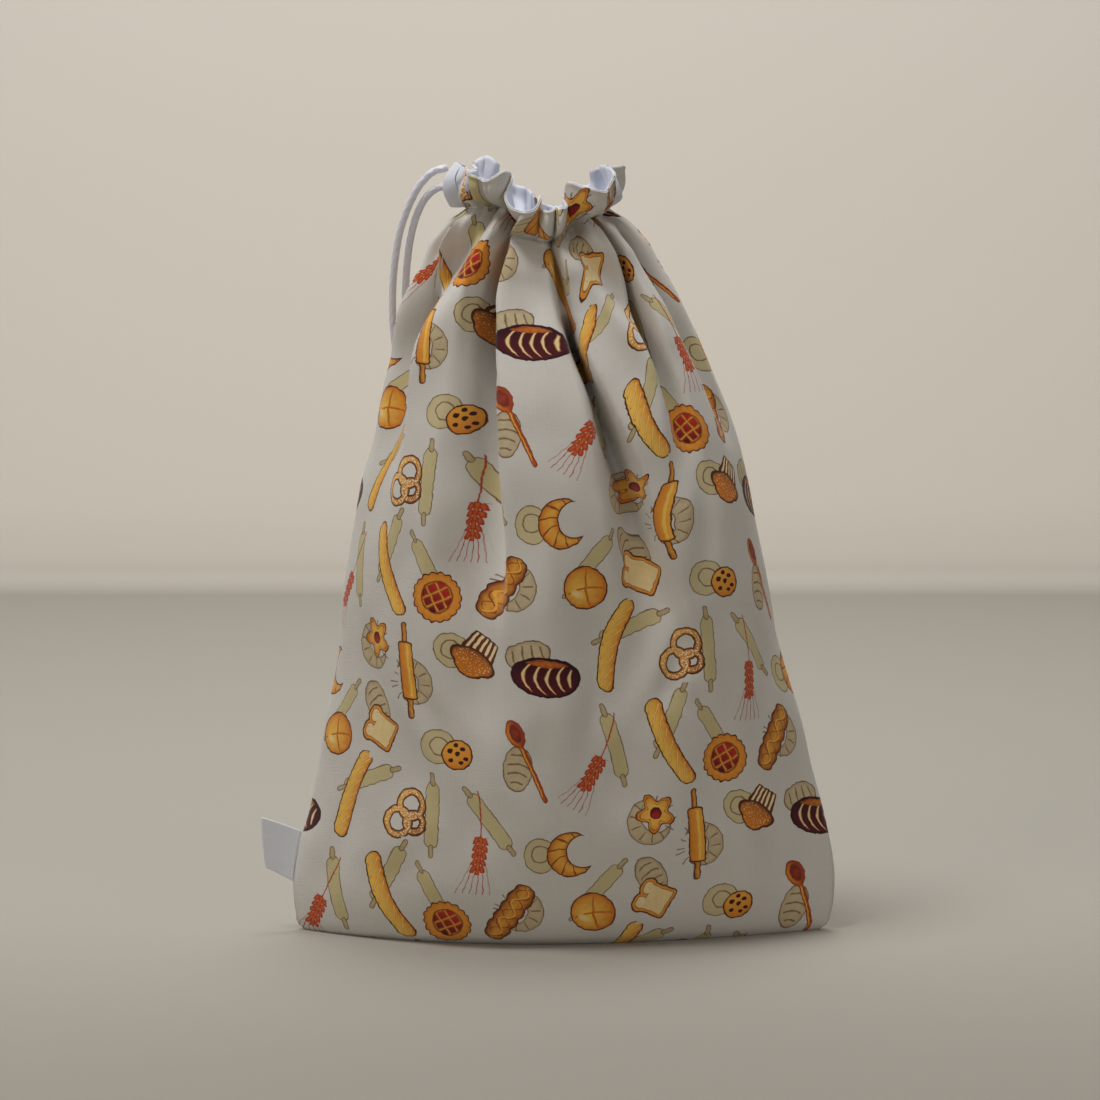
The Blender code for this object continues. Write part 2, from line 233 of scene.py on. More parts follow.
# The room's tone by way: along the floor from the bag to the wall, and on up the wall. Painted
# shade and
# light are in it: the floor is painted darker towards the camera as a painted shadow in front of
# the bag, the change from floor to wall tone is put late so that the bend, which catches more
# light, is painted darker, and the wall is painted lighter low down, where the lamps' light falls
# off.
stageToneShadeAndLight = (
    # painted shadow: the floor darker towards the camera, in front of the bag
    (-400, (0.312, 0.294, 0.260)),
    (150, (0.400, 0.381, 0.343)),
    # painted shade on the bend: the floor's darker tone is held until late, where the bend catches
    # more light
    (1484, (0.400, 0.381, 0.343)),
    (1545, (0.790, 0.748, 0.674)),
    # painted light: the wall lighter near the floor than higher up, against the lamps' falloff
    (1600, (0.835, 0.790, 0.712)),
    (2250, (0.775, 0.738, 0.675)),
)
Light = namedtuple("Light", "name at aim size power tint")
lights = (
    Light("keyLight", (-750, -420, 2400), (0, 0, 180), 850, 31.0, (1.0, 0.99, 0.97)),
    Light("lowLight", (-1450, -1500, 900), (0, 0, 120), 1000, 6.8, (1.0, 0.9, 0.78)),
    Light("fillLight", (1600, -1500, 900), (0, 0, 180), 1500, 7.5, (1.0, 0.92, 0.82)),
    Light("topLight", (100, 430, 2300), (0, 1150, 300), 1000, 22.0, (1.0, 0.985, 0.96)),
)
roomLight = {"tint": (0.80, 0.79, 0.77, 1.0), "power": 0.10}

scene = bpy.context.scene
cameraData = bpy.data.cameras.new("view")
cameraData.lens = view["lens"]
cameraData.sensor_width = view["sensor"]
cameraData.clip_end = view["clipEnd"]
camera = bpy.data.objects.new("view", cameraData)
camera.location = Vector(view["eye"]) * mm
camera.rotation_euler = (math.radians(90.0 - view["tilt"]), 0.0, 0.0)
scene.collection.objects.link(camera)
scene.camera = camera
scene.view_settings.view_transform = "Standard"


def makeStage():
    s = stageSizes
    bends = np.linspace(0.0, 0.5 * math.pi, s["bendSteps"] + 1)
    start = s["wallAt"] - s["bend"]
    curve = [(start + s["bend"] * math.sin(a), s["bend"] * (1.0 - math.cos(a))) for a in bends]
    profile = [(s["front"], 0.0), *curve, (s["wallAt"], s["tall"])]
    points = [(side * s["half"], y, z) for side in (-1, 1) for y, z in profile]
    n = len(profile)
    faces = [(i, n + i, n + i + 1, i + 1) for i in range(n - 1)]
    plain = bpy.data.materials.new("paleRoom")
    plain.use_nodes = True
    tree = plain.node_tree
    shader = tree.nodes["Principled BSDF"]
    shader.inputs["Roughness"].default_value = s["roughness"]
    shader.inputs["Specular IOR Level"].default_value = s["specular"]
    _, y, z = splitPlace(tree, addNode(tree, "TexCoord").outputs["Object"])
    # the room's tone, with its painted shadow, painted shade and painted light, laid along the
    # floor and up the wall
    first, last = stageToneShadeAndLight[0][0], stageToneShadeAndLight[-1][0]
    share = addNode(tree, "MapRange", {0: y + z, 1: first * mm, 2: last * mm})
    node = addNode(tree, "ValToRGB", {0: share.outputs[0]})
    ramp = node.color_ramp
    ramp.interpolation = "EASE"
    for _ in stageToneShadeAndLight[2:]:
        ramp.elements.new(0.5)
    for stop, (at, tone) in zip(ramp.elements, stageToneShadeAndLight):
        stop.position = (at - first) / (last - first)
        stop.color = (*tone, 1.0)
    tree.links.new(node.outputs[0], shader.inputs["Base Color"])
    makeMesh("studioFloor", points, faces, (plain,))


def makeLight(light):
    data = bpy.data.lights.new(light.name, "AREA")
    data.shape = "DISK"
    data.size = light.size * mm
    data.energy = light.power
    data.color = light.tint
    lamp = bpy.data.objects.new(light.name, data)
    lamp.location = Vector(light.at) * mm
    aim = Vector(light.aim) * mm - lamp.location
    lamp.rotation_euler = aim.to_track_quat("-Z", "Y").to_euler()
    scene.collection.objects.link(lamp)


makeStage()
for light in lights:
    makeLight(light)
room = bpy.data.worlds.new("room")
room.use_nodes = True
scene.world = room
back = room.node_tree.nodes["Background"]
back.inputs["Color"].default_value = roomLight["tint"]
back.inputs["Strength"].default_value = roomLight["power"]
print("camera and studio ready")


# Outlines: below 0 inside, about the distance in mm
def oval(x, y, wide, tall):
    return (reachOf(x / wide, y / tall) - 1.0) * min(wide, tall)


def bar(x, y, half, radius):
    return reachOf(high(abs(x) - half, 0.0), y) - radius


def box(x, y, wide, tall, radius):
    pastX, pastY = abs(x) - (wide - radius), abs(y) - (tall - radius)
    return reachOf(high(pastX, 0.0), high(pastY, 0.0)) - radius


def ringShape(x, y, radius, half):
    return abs(reachOf(x, y) - radius) - half


def mixColours(tree, share, first, second):
    return addNode(tree, "Mix", {0: share, 6: first, 7: second}, data_type="RGBA").outputs[2]


def rgb(red, green, blue):
    shares = (red / 255.0, green / 255.0, blue / 255.0)
    linear = [c / 12.92 if c <= 0.04045 else ((c + 0.055) / 1.055) ** 2.4 for c in shares]
    return (*linear, 1.0)


def makeGroup(name, inputs, outputs):
    tree = bpy.data.node_groups.new(name, "ShaderNodeTree")
    for title, kind, value in inputs:
        socket = tree.interface.new_socket(title, in_out="INPUT", socket_type=kind)
        if value is not None:
            socket.default_value = value
    for title, kind in outputs:
        tree.interface.new_socket(title, in_out="OUTPUT", socket_type=kind)
    entry = tree.nodes.new("NodeGroupInput")
    leave = tree.nodes.new("NodeGroupOutput")
    return tree, entry.outputs, leave.inputs


def useGroup(tree, group, inputs):
    return addNode(tree, "Group", inputs, node_tree=group).outputs


def noiseNum(tree, place, scale, detail=2.0):
    node = addNode(tree, "TexNoise", {"Scale": scale, "Detail": detail, "Vector": place})
    return Num(tree, node.outputs["Fac"])


colour = "NodeSocketColor"
number = "NodeSocketFloat"
vector = "NodeSocketVector"


# One painted shape over what is under it: a flat wash from light to dark, and an inked outline
brush = {
    "edge": 4.0,  # how sharp the wash ends
    "rim": 2.8,  # how far in from its edge the wash is darker, in mm
    "rimDark": 0.6,
    "paler": 0.12,
    "line": 1.25,
    "lineEdge": 5.0,
    "faintest": 20.0,
}


def makePaintedShape():
    b = brush
    inputs = (
        ("Under", colour, None),
        ("Edge", number, 0.0),
        ("Light", colour, None),
        ("Dark", colour, None),
        ("Shade", number, 0.0),
        ("Strength", number, 1.0),
        ("Line", number, 0.5),
        ("Ink", colour, None),
    )
    tree, entry, leave = makeGroup("paintedShape", inputs, (("Colour", colour),))
    titles = ("Edge", "Shade", "Strength", "Line")
    edge, shade, strength, line = (Num(tree, entry[title]) for title in titles)
    inside = clamp(0.5 - edge * b["edge"]) * strength
    rim = clamp(edge / b["rim"] + 1.0)
    dark = clamp(shade + rim * rim * b["rimDark"] - b["paler"])
    wash = mixColours(tree, dark, entry["Light"], entry["Dark"])
    filled = mixColours(tree, inside, entry["Under"], wash)
    line = line * b["line"]
    inked = clamp((line * 0.5 - abs(edge + line * 0.5)) * b["lineEdge"] + 0.5)
    inked = inked * clamp(line * b["faintest"]) * strength
    tree.links.new(mixColours(tree, inked, filled, entry["Ink"]), leave["Colour"])
    return tree


paintedShape = makePaintedShape()

paints = {
    "cream": rgb(243, 226, 184),
    "crumb": rgb(232, 203, 138),
    "yellow": rgb(243, 196, 88),
    "honey": rgb(236, 168, 66),
    "crust": rgb(213, 122, 38),
    "brown": rgb(146, 70, 32),
    "cocoa": rgb(84, 38, 28),
    "ink": rgb(78, 44, 28),
    "rust": rgb(200, 84, 44),
    "brick": rgb(170, 62, 36),
    "red": rgb(196, 40, 36),
    "maroon": rgb(86, 20, 30),
    "wine": rgb(52, 14, 26),
    "beige": rgb(206, 189, 148),
    "straw": rgb(196, 183, 122),
    "clay": rgb(172, 147, 112),
    "faintInk": rgb(108, 78, 48),
}


# What a motif is painted with: its own place in mm, made a little unsteady, and the colour so far
hand = {
    "wobble": 0.22,  # these four are scales of noise
    "drift": 0.31,
    "mottle": 0.35,
    "grit": 1.3,
    "unsteady": 1.5,
    "flat": (1.2, 0.4),
    "shaded": 0.7,
    "paleStrength": 0.88,
}


class Sketch:
    def __init__(self, tree, place, under):
        self.tree, self.colour = tree, under
        x, y, _ = splitPlace(tree, place)
        self.mottle = noiseNum(tree, place, hand["mottle"], 3.0) - 0.5
        self.grit = noiseNum(tree, place, hand["grit"], 1.0)
        self.x = x + (noiseNum(tree, place, hand["wobble"], 1.0) - 0.5) * hand["unsteady"]
        self.y = y + (noiseNum(tree, place, hand["drift"], 1.0) - 0.5) * hand["unsteady"]

    def paint(self, edge, light, dark, shade=None, line=0.5, ink="ink", strength=1.0):
        if shade is None:
            shade = self.mottle * hand["flat"][0] + hand["flat"][1]
        else:
            shade = shade + self.mottle * hand["shaded"]
        inputs = {
            "Under": self.colour,
            "Edge": edge,
            "Shade": shade,
            "Light": paints[light],
            "Dark": paints[dark],
            "Strength": strength,
            "Line": line,
            "Ink": paints[ink],
        }
        self.colour = useGroup(self.tree, paintedShape, inputs)["Colour"]

    def fade(self, edge, line=0.35, tone="beige", deep="clay"):  # the pale shapes behind
        self.paint(edge, tone, deep, line=line, ink="faintInk", strength=hand["paleStrength"])


def paleOval(s, x, y):
    s.fade(oval(x, y, 11.0, 7.0))
    cuts = high(abs(repeat(x + y * y * 0.05, 4.4)) - 0.45, oval(x, y, 8.5, 5.0))
    s.fade(cuts, 0.0, "clay", "faintInk")


def paleBar(s, x, y):
    s.fade(bar(x, y, 12.0, 3.6), 0.35, "straw", "beige")
    s.fade(bar(abs(x) - 17.0, y, 2.0, 1.3), 0.3, "straw", "clay")


def paleCrescent(s, x, y):
    angle = angleOf(y + 7.0, x)
    s.fade(ringShape(x, y + 7.0, 9.0, 0.0) - 4.0 * swing(angle * 0.72), 0.35)
    cuts = high(abs(repeat(angle, 0.55)) * 9.0 - 0.3, ringShape(x, y + 7.0, 9.0, 2.4))
    s.fade(cuts, 0.0, "clay", "faintInk")


def paleRound(s, x, y):
    s.fade(oval(x, y, 9.0, 8.0), 0.35, "beige", "straw")
    s.fade(ringShape(x - 0.8, y, 4.2, 0.35), 0.0, "clay", "faintInk")


def pretzel(s):
    x, y = s.x, s.y
    loops = low(ringShape(x + 5.4, y - 1.0, 6.0, 2.0), ringShape(x - 5.4, y - 1.0, 6.0, 2.0))
    knot = low(loops, ringShape(x, y + 5.6, 4.4, 1.9))
    s.paint(knot, "honey", "brown", 0.35 - y * 0.04)
    s.paint(high(0.25 - (s.grit - 0.45) * 3.0, knot + 1.1), "cream", "cream", line=0.0)


def toast(s):
    x, y = s.x, s.y
    domes = low(*(oval(x + side, y - 5.2, 5.6, 4.4) for side in (-4.0, 4.0)))
    bread = low(box(x, y + 2.0, 8.2, 7.6, 2.2), domes)
    s.paint(bread, "honey", "crust")
    s.paint(bread + 1.7, "cream", "crumb", line=0.25, ink="brown")
    s.paint(high((0.66 - s.grit) * 6.0, bread + 2.6), "crust", "crust", line=0.0)


def slashedLoaf(s):
    x, y = s.x, s.y
    loaf = oval(x, y, 16.5, 9.2)
    s.paint(loaf, "maroon", "wine", 0.5 - y * 0.07, 0.6, "wine")
    slashes = abs(repeat(x + y * y * 0.09 + 2.6, 5.2)) - (0.95 - abs(y) * 0.07)
    s.paint(high(slashes, loaf + 1.5), "cream", "crumb", line=0.2, ink="brown")
    s.paint(high(loaf + 1.2, y + x * x * 0.012 + 4.6), "crust", "brown", line=0.0)


def longLoaf(s):
    x, y = s.x, s.y + s.x * s.x * 0.007
    loaf = bar(x, y, 18.0, 4.4)
    s.paint(loaf, "yellow", "crust", 0.3 - y * 0.13)
    cuts = high(abs(repeat(x + y * 1.5, 6.2)) - 0.8, loaf + 1.1)
    s.paint(cuts, "cream", "yellow", line=0.25, ink="crust")


def starBiscuit(s):
    x, y = s.x, s.y
    star = reachOf(x, y) - swing(angleOf(x, y) * 5.0) * 1.9 - 8.0
    s.paint(star, "yellow", "crust", reachOf(x, y) * 0.09)
    s.paint(oval(x, y, 2.8, 2.8), "red", "maroon", 0.5 - y * 0.2, 0.3, "maroon")
    s.paint(abs(star + 1.9) - 0.22, "crust", "brown", line=0.0)


def chipBiscuit(s):
    x, y = s.x, s.y
    s.paint(oval(x, y, 7.6, 7.0), "honey", "crust", 0.4 - y * 0.06)
    chips = oval(x - 3.2, y - 2.0, 1.3, 1.1)
    for cx, cy in ((-2.6, 2.8), (-3.8, -1.6), (0.6, -3.8), (3.4, -2.6), (0.2, 0.6), (0.8, 4.6)):
        chips = low(chips, oval(x - cx, y - cy, 1.2, 1.0))
    s.paint(chips, "cocoa", "wine", line=0.0)


def muffin(s):
    x, y = s.x, s.y
    case = high(abs(x) - (y * 0.22 + 8.4), abs(y + 5.6) - 4.8)
    s.paint(case, "cream", "crumb", line=0.5)
    s.paint(high(abs(repeat(x - x * y * 0.03, 3.1)) - 0.8, case + 0.4), "brown", "cocoa", line=0.0)
    top = low(oval(x, y - 3.0, 11.2, 5.6), oval(x, y - 5.6, 7.4, 5.4))
    s.paint(top, "crust", "cocoa", 0.5 - y * 0.09, 0.55)
    s.paint(high((0.62 - s.grit) * 5.0, top + 1.2), "cream", "crumb", line=0.0)


def wheatSprig(s):
    x, y = s.x, s.y + s.x * s.x * 0.004
    s.paint(bar(x + 9.0, y, 13.0, 0.35), "rust", "brick", line=0.0)
    away = abs(y)
    fan = angleOf(x - 2.0, away)
    beard = high(abs(repeat(fan, 0.13)) * (x - 2.0) - 0.2, fan - 0.34, abs(x - 19.5) - 7.5)
    s.paint(beard, "rust", "brick", line=0.0)
    grainX, grainY = spun(repeat(x, 3.3), away - 2.1, 28)
    grains = high(oval(grainX, grainY, 2.5, 1.25), abs(x - 8.2) - 8.4)
    s.paint(grains, "honey", "rust", 0.75, 0.4, "brick")
    middle = high(bar(repeat(x + 1.6, 3.3), y, 1.0, 0.95), abs(x - 8.6) - 9.0)
    s.paint(middle, "crust", "rust", line=0.3, ink="brick")


def spoon(s):
    x, y = s.x, s.y
    whole = low(bar(x + 6.0, y, 14.0, 1.25), oval(x - 13.4, y, 6.6, 4.5))
    s.paint(whole, "crust", "brick", 0.5 - y * 0.2, 0.45, "brown")
    s.paint(oval(x - 13.6, y + 0.2, 4.6, 2.8), "brick", "cocoa", line=0.25, ink="brown")
    s.paint(bar(x + 6.0, y - 0.3, 12.0, 0.3), "honey", "honey", line=0.0)


def rollingPin(s):
    x, y = s.x, s.y
    s.paint(bar(abs(x) - 17.6, y, 3.2, 1.7), "honey", "brown", 0.4 - y * 0.25, 0.45)
    body = box(x, y, 13.6, 4.2, 1.6)
    s.paint(body, "honey", "crust", 0.35 - y * 0.13, 0.55)
    s.paint(high(abs(y - 1.2) - 0.7, abs(x) - 12.0), "yellow", "yellow", line=0.0)


def crescent(s):
    x, y = s.x, s.y + 6.6
    angle = angleOf(y, x)
    roll = ringShape(x, y, 9.4, 0.0) - 4.7 * swing(angle * 0.74)
    s.paint(roll, "yellow", "crust", 0.45 + abs(reachOf(x, y) - 8.6) * 0.12)
    ridges = high(abs(repeat(angle + reachOf(x, y) * 0.04, 0.56)) * 9.0 - 0.34, roll + 0.7)
    s.paint(ridges, "brown", "brown", line=0.0)


def roundLoaf(s):
    x, y = s.x, s.y
    loaf = oval(x, y, 10.8, 10.0)
    s.paint(loaf, "yellow", "crust", reachOf(x - 1.5, y - 2.0) * 0.085)
    first, second = spun(x, y, 38)
    cross = low(abs(first + second * second * 0.02), abs(second - first * first * 0.02))
    cross = high(cross - 0.45, loaf + 1.4)
    s.paint(cross, "brown", "crust", line=0.0)
    s.paint(high(oval(x - 2.0, y - 4.4, 3.6, 1.5), 0.3 - abs(first)), "cream", "yellow", line=0.0)


def jamTart(s):
    x, y = s.x, s.y
    out, angle = reachOf(x, y), angleOf(x, y)
    s.paint(out - abs(swing(angle * 9.0)) * 0.9 - 11.0, "honey", "crust", 0.2 + out * 0.04)
    s.paint(out - 7.6, "red", "maroon", 0.55 - y * 0.07, 0.4, "brown")
    bars = high(low(abs(repeat(x + y, 6.4)), abs(repeat(x - y, 6.4))) * 0.7 - 0.75, out - 7.2)
    s.paint(bars, "yellow", "crust", line=0.3, ink="brown")


def plaitLoaf(s):
    x, y = s.x, s.y
    loaf = bar(x, y, 11.0, 5.6) - abs(wave(x * 0.5)) * 0.9
    s.paint(loaf, "honey", "brown", 0.25 + abs(y) * 0.12)
    over = abs(y - swing(x * 0.52) * 3.4) - 0.35
    under = abs(y + swing(x * 0.52) * 3.4) - 0.35
    s.paint(high(low(over, under), loaf + 0.9), "brown", "brown", line=0.0)
    shine = high(abs(y - swing(x * 0.52 + 0.5) * 2.6) - 0.5, loaf + 1.8)
    s.paint(shine, "yellow", "honey", line=0.0)


# Each motif has a pale companion behind it, at a place and a turn of its own
motifs = table(
    "draw pale paleX paleY paleTurn",
    (pretzel, paleBar, 9, -10, 35),
    (toast, paleOval, 10, 7, 60),
    (slashedLoaf, paleOval, 9, -9, 20),
    (longLoaf, paleBar, 10, -7, -50),
    (starBiscuit, paleCrescent, 8, 6, -60),
    (chipBiscuit, paleRound, -8, 6, 0),
    (muffin, paleRound, 10, 4, 0),
    (wheatSprig, paleBar, -8, 4, 40),
    (spoon, paleOval, -2, 6, -30),
    (rollingPin, paleCrescent, 4, 7, 10),
    (crescent, paleRound, 3, 10, 0),
    (roundLoaf, paleBar, 4, -11, 80),
    (jamTart, paleBar, -8, 10, -40),
    (plaitLoaf, paleCrescent, -6, 9, 20),
)

# The discs that each shape fills, in mm, to share the cloth out among the motifs
footprints = {
    "pretzel": ((-5.6, 1, 9), (5.6, 1, 9), (0, -5.5, 7.5)),
    "toast": ((0, 0, 12),),
    "slashedLoaf": ((-9, 0, 9), (0, 0, 10.5), (9, 0, 9)),
    "longLoaf": ((-15, 1, 6.5), (-7, 0, 7), (0, 0, 7), (7, 0, 7), (15, 1, 6.5)),
    "starBiscuit": ((0, 0, 11),),
    "chipBiscuit": ((0, 0, 8.8),),
    "muffin": ((0, 2, 11.5), (0, -6, 9)),
    "wheatSprig": (
        *((-18, -2, 3.5), (-11, -1, 3.5), (-4, 0, 4), (3, 0, 5.5)),
        *((10, 0, 6.5), (18, 0, 7), (25, 0, 7)),
    ),
    "spoon": ((-18, 0, 3), (-12, 0, 3), (-6, 0, 3), (0, 0, 3), (6, 0, 3), (14, 0, 7)),
    "rollingPin": ((-19, 0, 3.5), *((x, 0, 5.5) for x in (-10, -4, 4, 10)), (19, 0, 3.5)),
    "crescent": ((-8.5, -6, 5.5), (-4, 2, 7), (4, 2, 7), (8.5, -6, 5.5)),
    "roundLoaf": ((0, 0, 11.5),),
    "jamTart": ((0, 0, 12.5),),
    "plaitLoaf": ((-10, 0, 7.5), (0, 0, 7.8), (10, 0, 7.5)),
    "paleOval": ((-4, 0, 8), (4, 0, 8)),
    "paleBar": ((-15, 0, 5), (-8, 0, 5.5), (0, 0, 5.5), (8, 0, 5.5), (15, 0, 5)),
    "paleCrescent": ((-8.5, -6, 5.5), (-4, 2, 7), (4, 2, 7), (8.5, -6, 5.5)),
    "paleRound": ((0, 0, 9.5),),
}

# One repeat of the print, in mm and degrees; every second repeat across drops by half
repeatSize = {"wide": 150.0, "tall": 170.0, "backShift": (61.0, 38.0), "enlarge": 1.1, "none": 90.0}
places = table(
    "motif x y turn",
    ("pretzel", 65, 72, 54), ("toast", 47, 114, 64), ("slashedLoaf", 143, 149, 174),
    ("longLoaf", 54, 26, 114), ("starBiscuit", 47, 161, 189), ("chipBiscuit", 94, 106, 18),
    ("muffin", 106, 157, 146), ("wheatSprig", 106, 64, 269), ("spoon", 131, 106, 113),
    ("rollingPin", 69, 147, 272), ("crescent", 149, 55, 104), ("roundLoaf", 15, 108, 150),
    ("jamTart", 87, 16, 340), ("plaitLoaf", 121, 23, 235), ("wheatSprig", 19, 21, 242),
    ("longLoaf", 29, 79, 72),
)


def scaled(tree, place, x, y):
    return addNode(tree, "VectorMath", {0: place, 1: (x, y, 1.0)}, operation="MULTIPLY").outputs[0]


# Plain weave: crossing threads, a few thicker ones, and cloth that is never quite one tone
weaveLook = {
    "along": 0.09,  # a thread's thicker places are long this way and narrow the other
    "across": 2.0,
    "cloudScale": 0.045,
    "crossing": 0.25,
    "uneven": 0.9,
    "threadTone": 0.09,
    "cloudTone": 0.07,
    "crossingTone": 0.02,
}


def makeWeave():
    w = weaveLook
    inputs = (("Cloth", vector, None), ("Thread", number, 0.45), ("Depth", number, 1.0))
    tree, entry, leave = makeGroup("plainWeave", inputs, (("Tone", number), ("Height", number)))
    cloth = entry["Cloth"]
    x, y, _ = splitPlace(tree, cloth)
    pitch = Num(tree, entry["Thread"])
    crossed = wave(x * math.pi / pitch) * wave(y * math.pi / pitch)
    across = noiseNum(tree, scaled(tree, cloth, w["along"], w["across"]), 1.0) - 0.5
    down = noiseNum(tree, scaled(tree, cloth, w["across"], w["along"]), 1.0) - 0.5
    cloudy = noiseNum(tree, cloth, w["cloudScale"], 3.0) - 0.5
    threads = across + down
    height = (crossed * w["crossing"] + threads * w["uneven"]) * Num(tree, entry["Depth"])
    tone = threads * w["threadTone"] + cloudy * w["cloudTone"] + crossed * w["crossingTone"] + 1.0
    tree.links.new(tone.socket, leave["Tone"])
    tree.links.new(height.socket, leave["Height"])
    return tree


# A row of stitches along X at Y = 0, sunk a little into the cloth
stitchLook = {"long": 0.38, "edge": 8.0, "sunkWide": 1.5, "proud": 0.5, "sunk": 0.9, "relief": 2.2}


def makeStitches():
    st = stitchLook
    inputs = (("Seam", vector, None), ("Pitch", number, 3.0), ("Width", number, 0.55))
    tree, entry, leave = makeGroup("stitchRow", inputs, (("Thread", number), ("Height", number)))
    x, y, _ = splitPlace(tree, entry["Seam"])
    pitch, width = Num(tree, entry["Pitch"]), Num(tree, entry["Width"])
    way = abs((x / pitch).does("FRACT") - 0.5) * pitch
    thread = clamp(low(width * 0.5 - abs(y), pitch * st["long"] - way) * st["edge"] + 0.5)
    sunk = clamp(1.0 - abs(y) / st["sunkWide"])
    tree.links.new(thread.socket, leave["Thread"])
    tree.links.new((thread * st["proud"] - sunk * sunk * st["sunk"]).socket, leave["Height"])
    return tree


plainWeave = makeWeave()
stitchRow = makeStitches()
clothLook = {
    "ground": rgb(211, 208, 203),
    "thread": rgb(236, 234, 228),
    "lining": rgb(214, 218, 230),
    "tape": rgb(222, 226, 235),
    "cord": rgb(228, 229, 242),
    "roughness": 0.88,
    "specular": 0.2,
    "sheen": 0.18,
    "sheenRoughness": 0.5,
    "bump": 0.00016,
}


def blankMaterial(name, roughness=clothLook["roughness"]):
    material = bpy.data.materials.new(name)
    material.use_nodes = True
    shader = material.node_tree.nodes["Principled BSDF"]
    shader.inputs["Roughness"].default_value = roughness
    shader.inputs["Specular IOR Level"].default_value = clothLook["specular"]
    shader.inputs["Sheen Weight"].default_value = clothLook["sheen"]
    shader.inputs["Sheen Roughness"].default_value = clothLook["sheenRoughness"]
    return material, material.node_tree, shader


def readMap(tree, name):
    return addNode(tree, "UVMap", uv_map=name).outputs[0]


def dressShader(tree, shader, colour, tone, height, bumpBy):
    toned = addNode(tree, "VectorMath", {0: colour, "Scale": tone}, operation="SCALE")
    bumps = addNode(tree, "Bump", {"Strength": 1.0, "Distance": bumpBy, "Height": height})
    tree.links.new(toned.outputs[0], shader.inputs["Base Color"])
    tree.links.new(bumps.outputs[0], shader.inputs["Normal"])


def printMaterial(motif):
    name = motif.draw.__name__
    inputs = (("Place", vector, None), ("Cloth Colour", colour, None))
    group, entry, leave = makeGroup(name + "Print", inputs, (("Colour", colour),))
    sketch = Sketch(group, entry["Place"], entry["Cloth Colour"])
    motif.pale(sketch, *spun(sketch.x - motif.paleX, sketch.y - motif.paleY, motif.paleTurn))
    motif.draw(sketch)
    group.links.new(sketch.colour, leave["Colour"])

    material, tree, shader = blankMaterial(name + "Cotton")
    weave = useGroup(tree, plainWeave, {"Cloth": readMap(tree, "cloth")})
    seam = useGroup(tree, stitchRow, {"Seam": readMap(tree, "seam")})
    ground = {"Place": readMap(tree, "motif"), "Cloth Colour": clothLook["ground"]}
    printed = useGroup(tree, group, ground)["Colour"]
    sewn = mixColours(tree, seam["Thread"], printed, clothLook["thread"])
    height = Num(tree, weave["Height"]) + Num(tree, seam["Height"]) * stitchLook["relief"]
    dressShader(tree, shader, sewn, weave["Tone"], height, clothLook["bump"])
    return material


def whiteMaterial(name, tone, thread, depth, roughness, bumpBy):
    material, tree, shader = blankMaterial(name, roughness)
    inputs = {"Cloth": readMap(tree, "cloth"), "Thread": thread, "Depth": depth}
    weave = useGroup(tree, plainWeave, inputs)
    white = addNode(tree, "RGB").outputs[0]
    white.default_value = tone
    dressShader(tree, shader, white, weave["Tone"], weave["Height"], bumpBy)
    return material


# ---- cords: two strands out of the casing's open end, over and down to a knot behind the bag
cordSizes = {
    "thick": 4.0,
    "step": 0.55,
    "sides": 20,
    "plait": 5.6,
    "relief": 0.42,
    "strands": 4,
    "ridge": 0.6,
    "pinched": (0.55, 0.45, 0.5),
    "dome": 1.4,  # the last millimetre of a free end is melted round
    "domeLeast": 0.03,
}
upperRoute = (
    (-59.6, 4.5, 395.2), (-66.5, 5.5, 393.2), (-73, 7.5, 387.2), (-79, 10.5, 377),
    (-84, 14, 363.5), (-87, 17.5, 348), (-88.5, 20.5, 331.5), (-88.5, 23, 315), (-87, 26, 299),
    (-85.5, 30, 282), (-84.5, 35, 264), (-83.5, 40.5, 246.5), (-82, 46, 230.5), (-80, 50.5, 216),
)
lowerRoute = (
    (-58.6, 3.5, 386), (-65, 5.5, 384.6), (-71, 9, 379.5), (-75.5, 13, 371), (-79, 17, 359),
    (-81, 20.5, 345), (-82, 24, 330), (-82, 27.5, 314), (-80.5, 31.5, 298), (-79, 36, 281),
    (-77.8, 41, 264), (-76.5, 46, 247), (-75.5, 50.5, 231), (-74.8, 53.5, 216),
)
leftTail = ((-79.5, 54.0, 198.6), (-80.6, 54.5, 192.0), (-81.5, 54.5, 184.5), (-81.5, 54.0, 176.5))
rightTail = ((-75.0, 55.0, 198.6), (-73.8, 56.5, 191.0), (-73.0, 57.6, 182.5), (-73.0, 58.0, 173.0))
knotSizes = {"at": (-77.5, 54.5, 207.0), "reach": (1.55, 1.25, 3.6), "thick": 3.9, "steps": 260}


def tubeFrames(centres, closed=False):
    if closed:
        ahead = np.roll(centres, -1, axis=0) - np.roll(centres, 1, axis=0)
    else:
        ahead = np.gradient(centres, axis=0)
    ahead /= np.linalg.norm(ahead, axis=1, keepdims=True)
    side = np.cross(ahead[0], (0.0, 0.0, 1.0))
    if np.linalg.norm(side) < 0.2:
        side = np.cross(ahead[0], (0.0, 1.0, 0.0))
    sides = []
    for direction in ahead:  # the same side carried along, so that the tube doesn't twist
        side = side - direction * float(side @ direction)
        side = side / np.linalg.norm(side)
        sides.append(side)
    return np.array(sides), np.cross(ahead, sides)


def plaitRelief(run, angle):
    s = cordSizes
    turn = s["strands"] * angle / (2 * math.pi)
    first, second = turn + run / s["plait"], turn - run / s["plait"]
    over = (np.floor(first) + np.floor(second)) % 2 < 1
    first, second = (np.abs(np.sin(math.pi * way)) for way in (first, second))
    ridge, pinch = np.where(over, first, second), np.where(over, second, first)
    least, more, power = s["pinched"]
    return ridge ** s["ridge"] * (least + more * pinch**power)


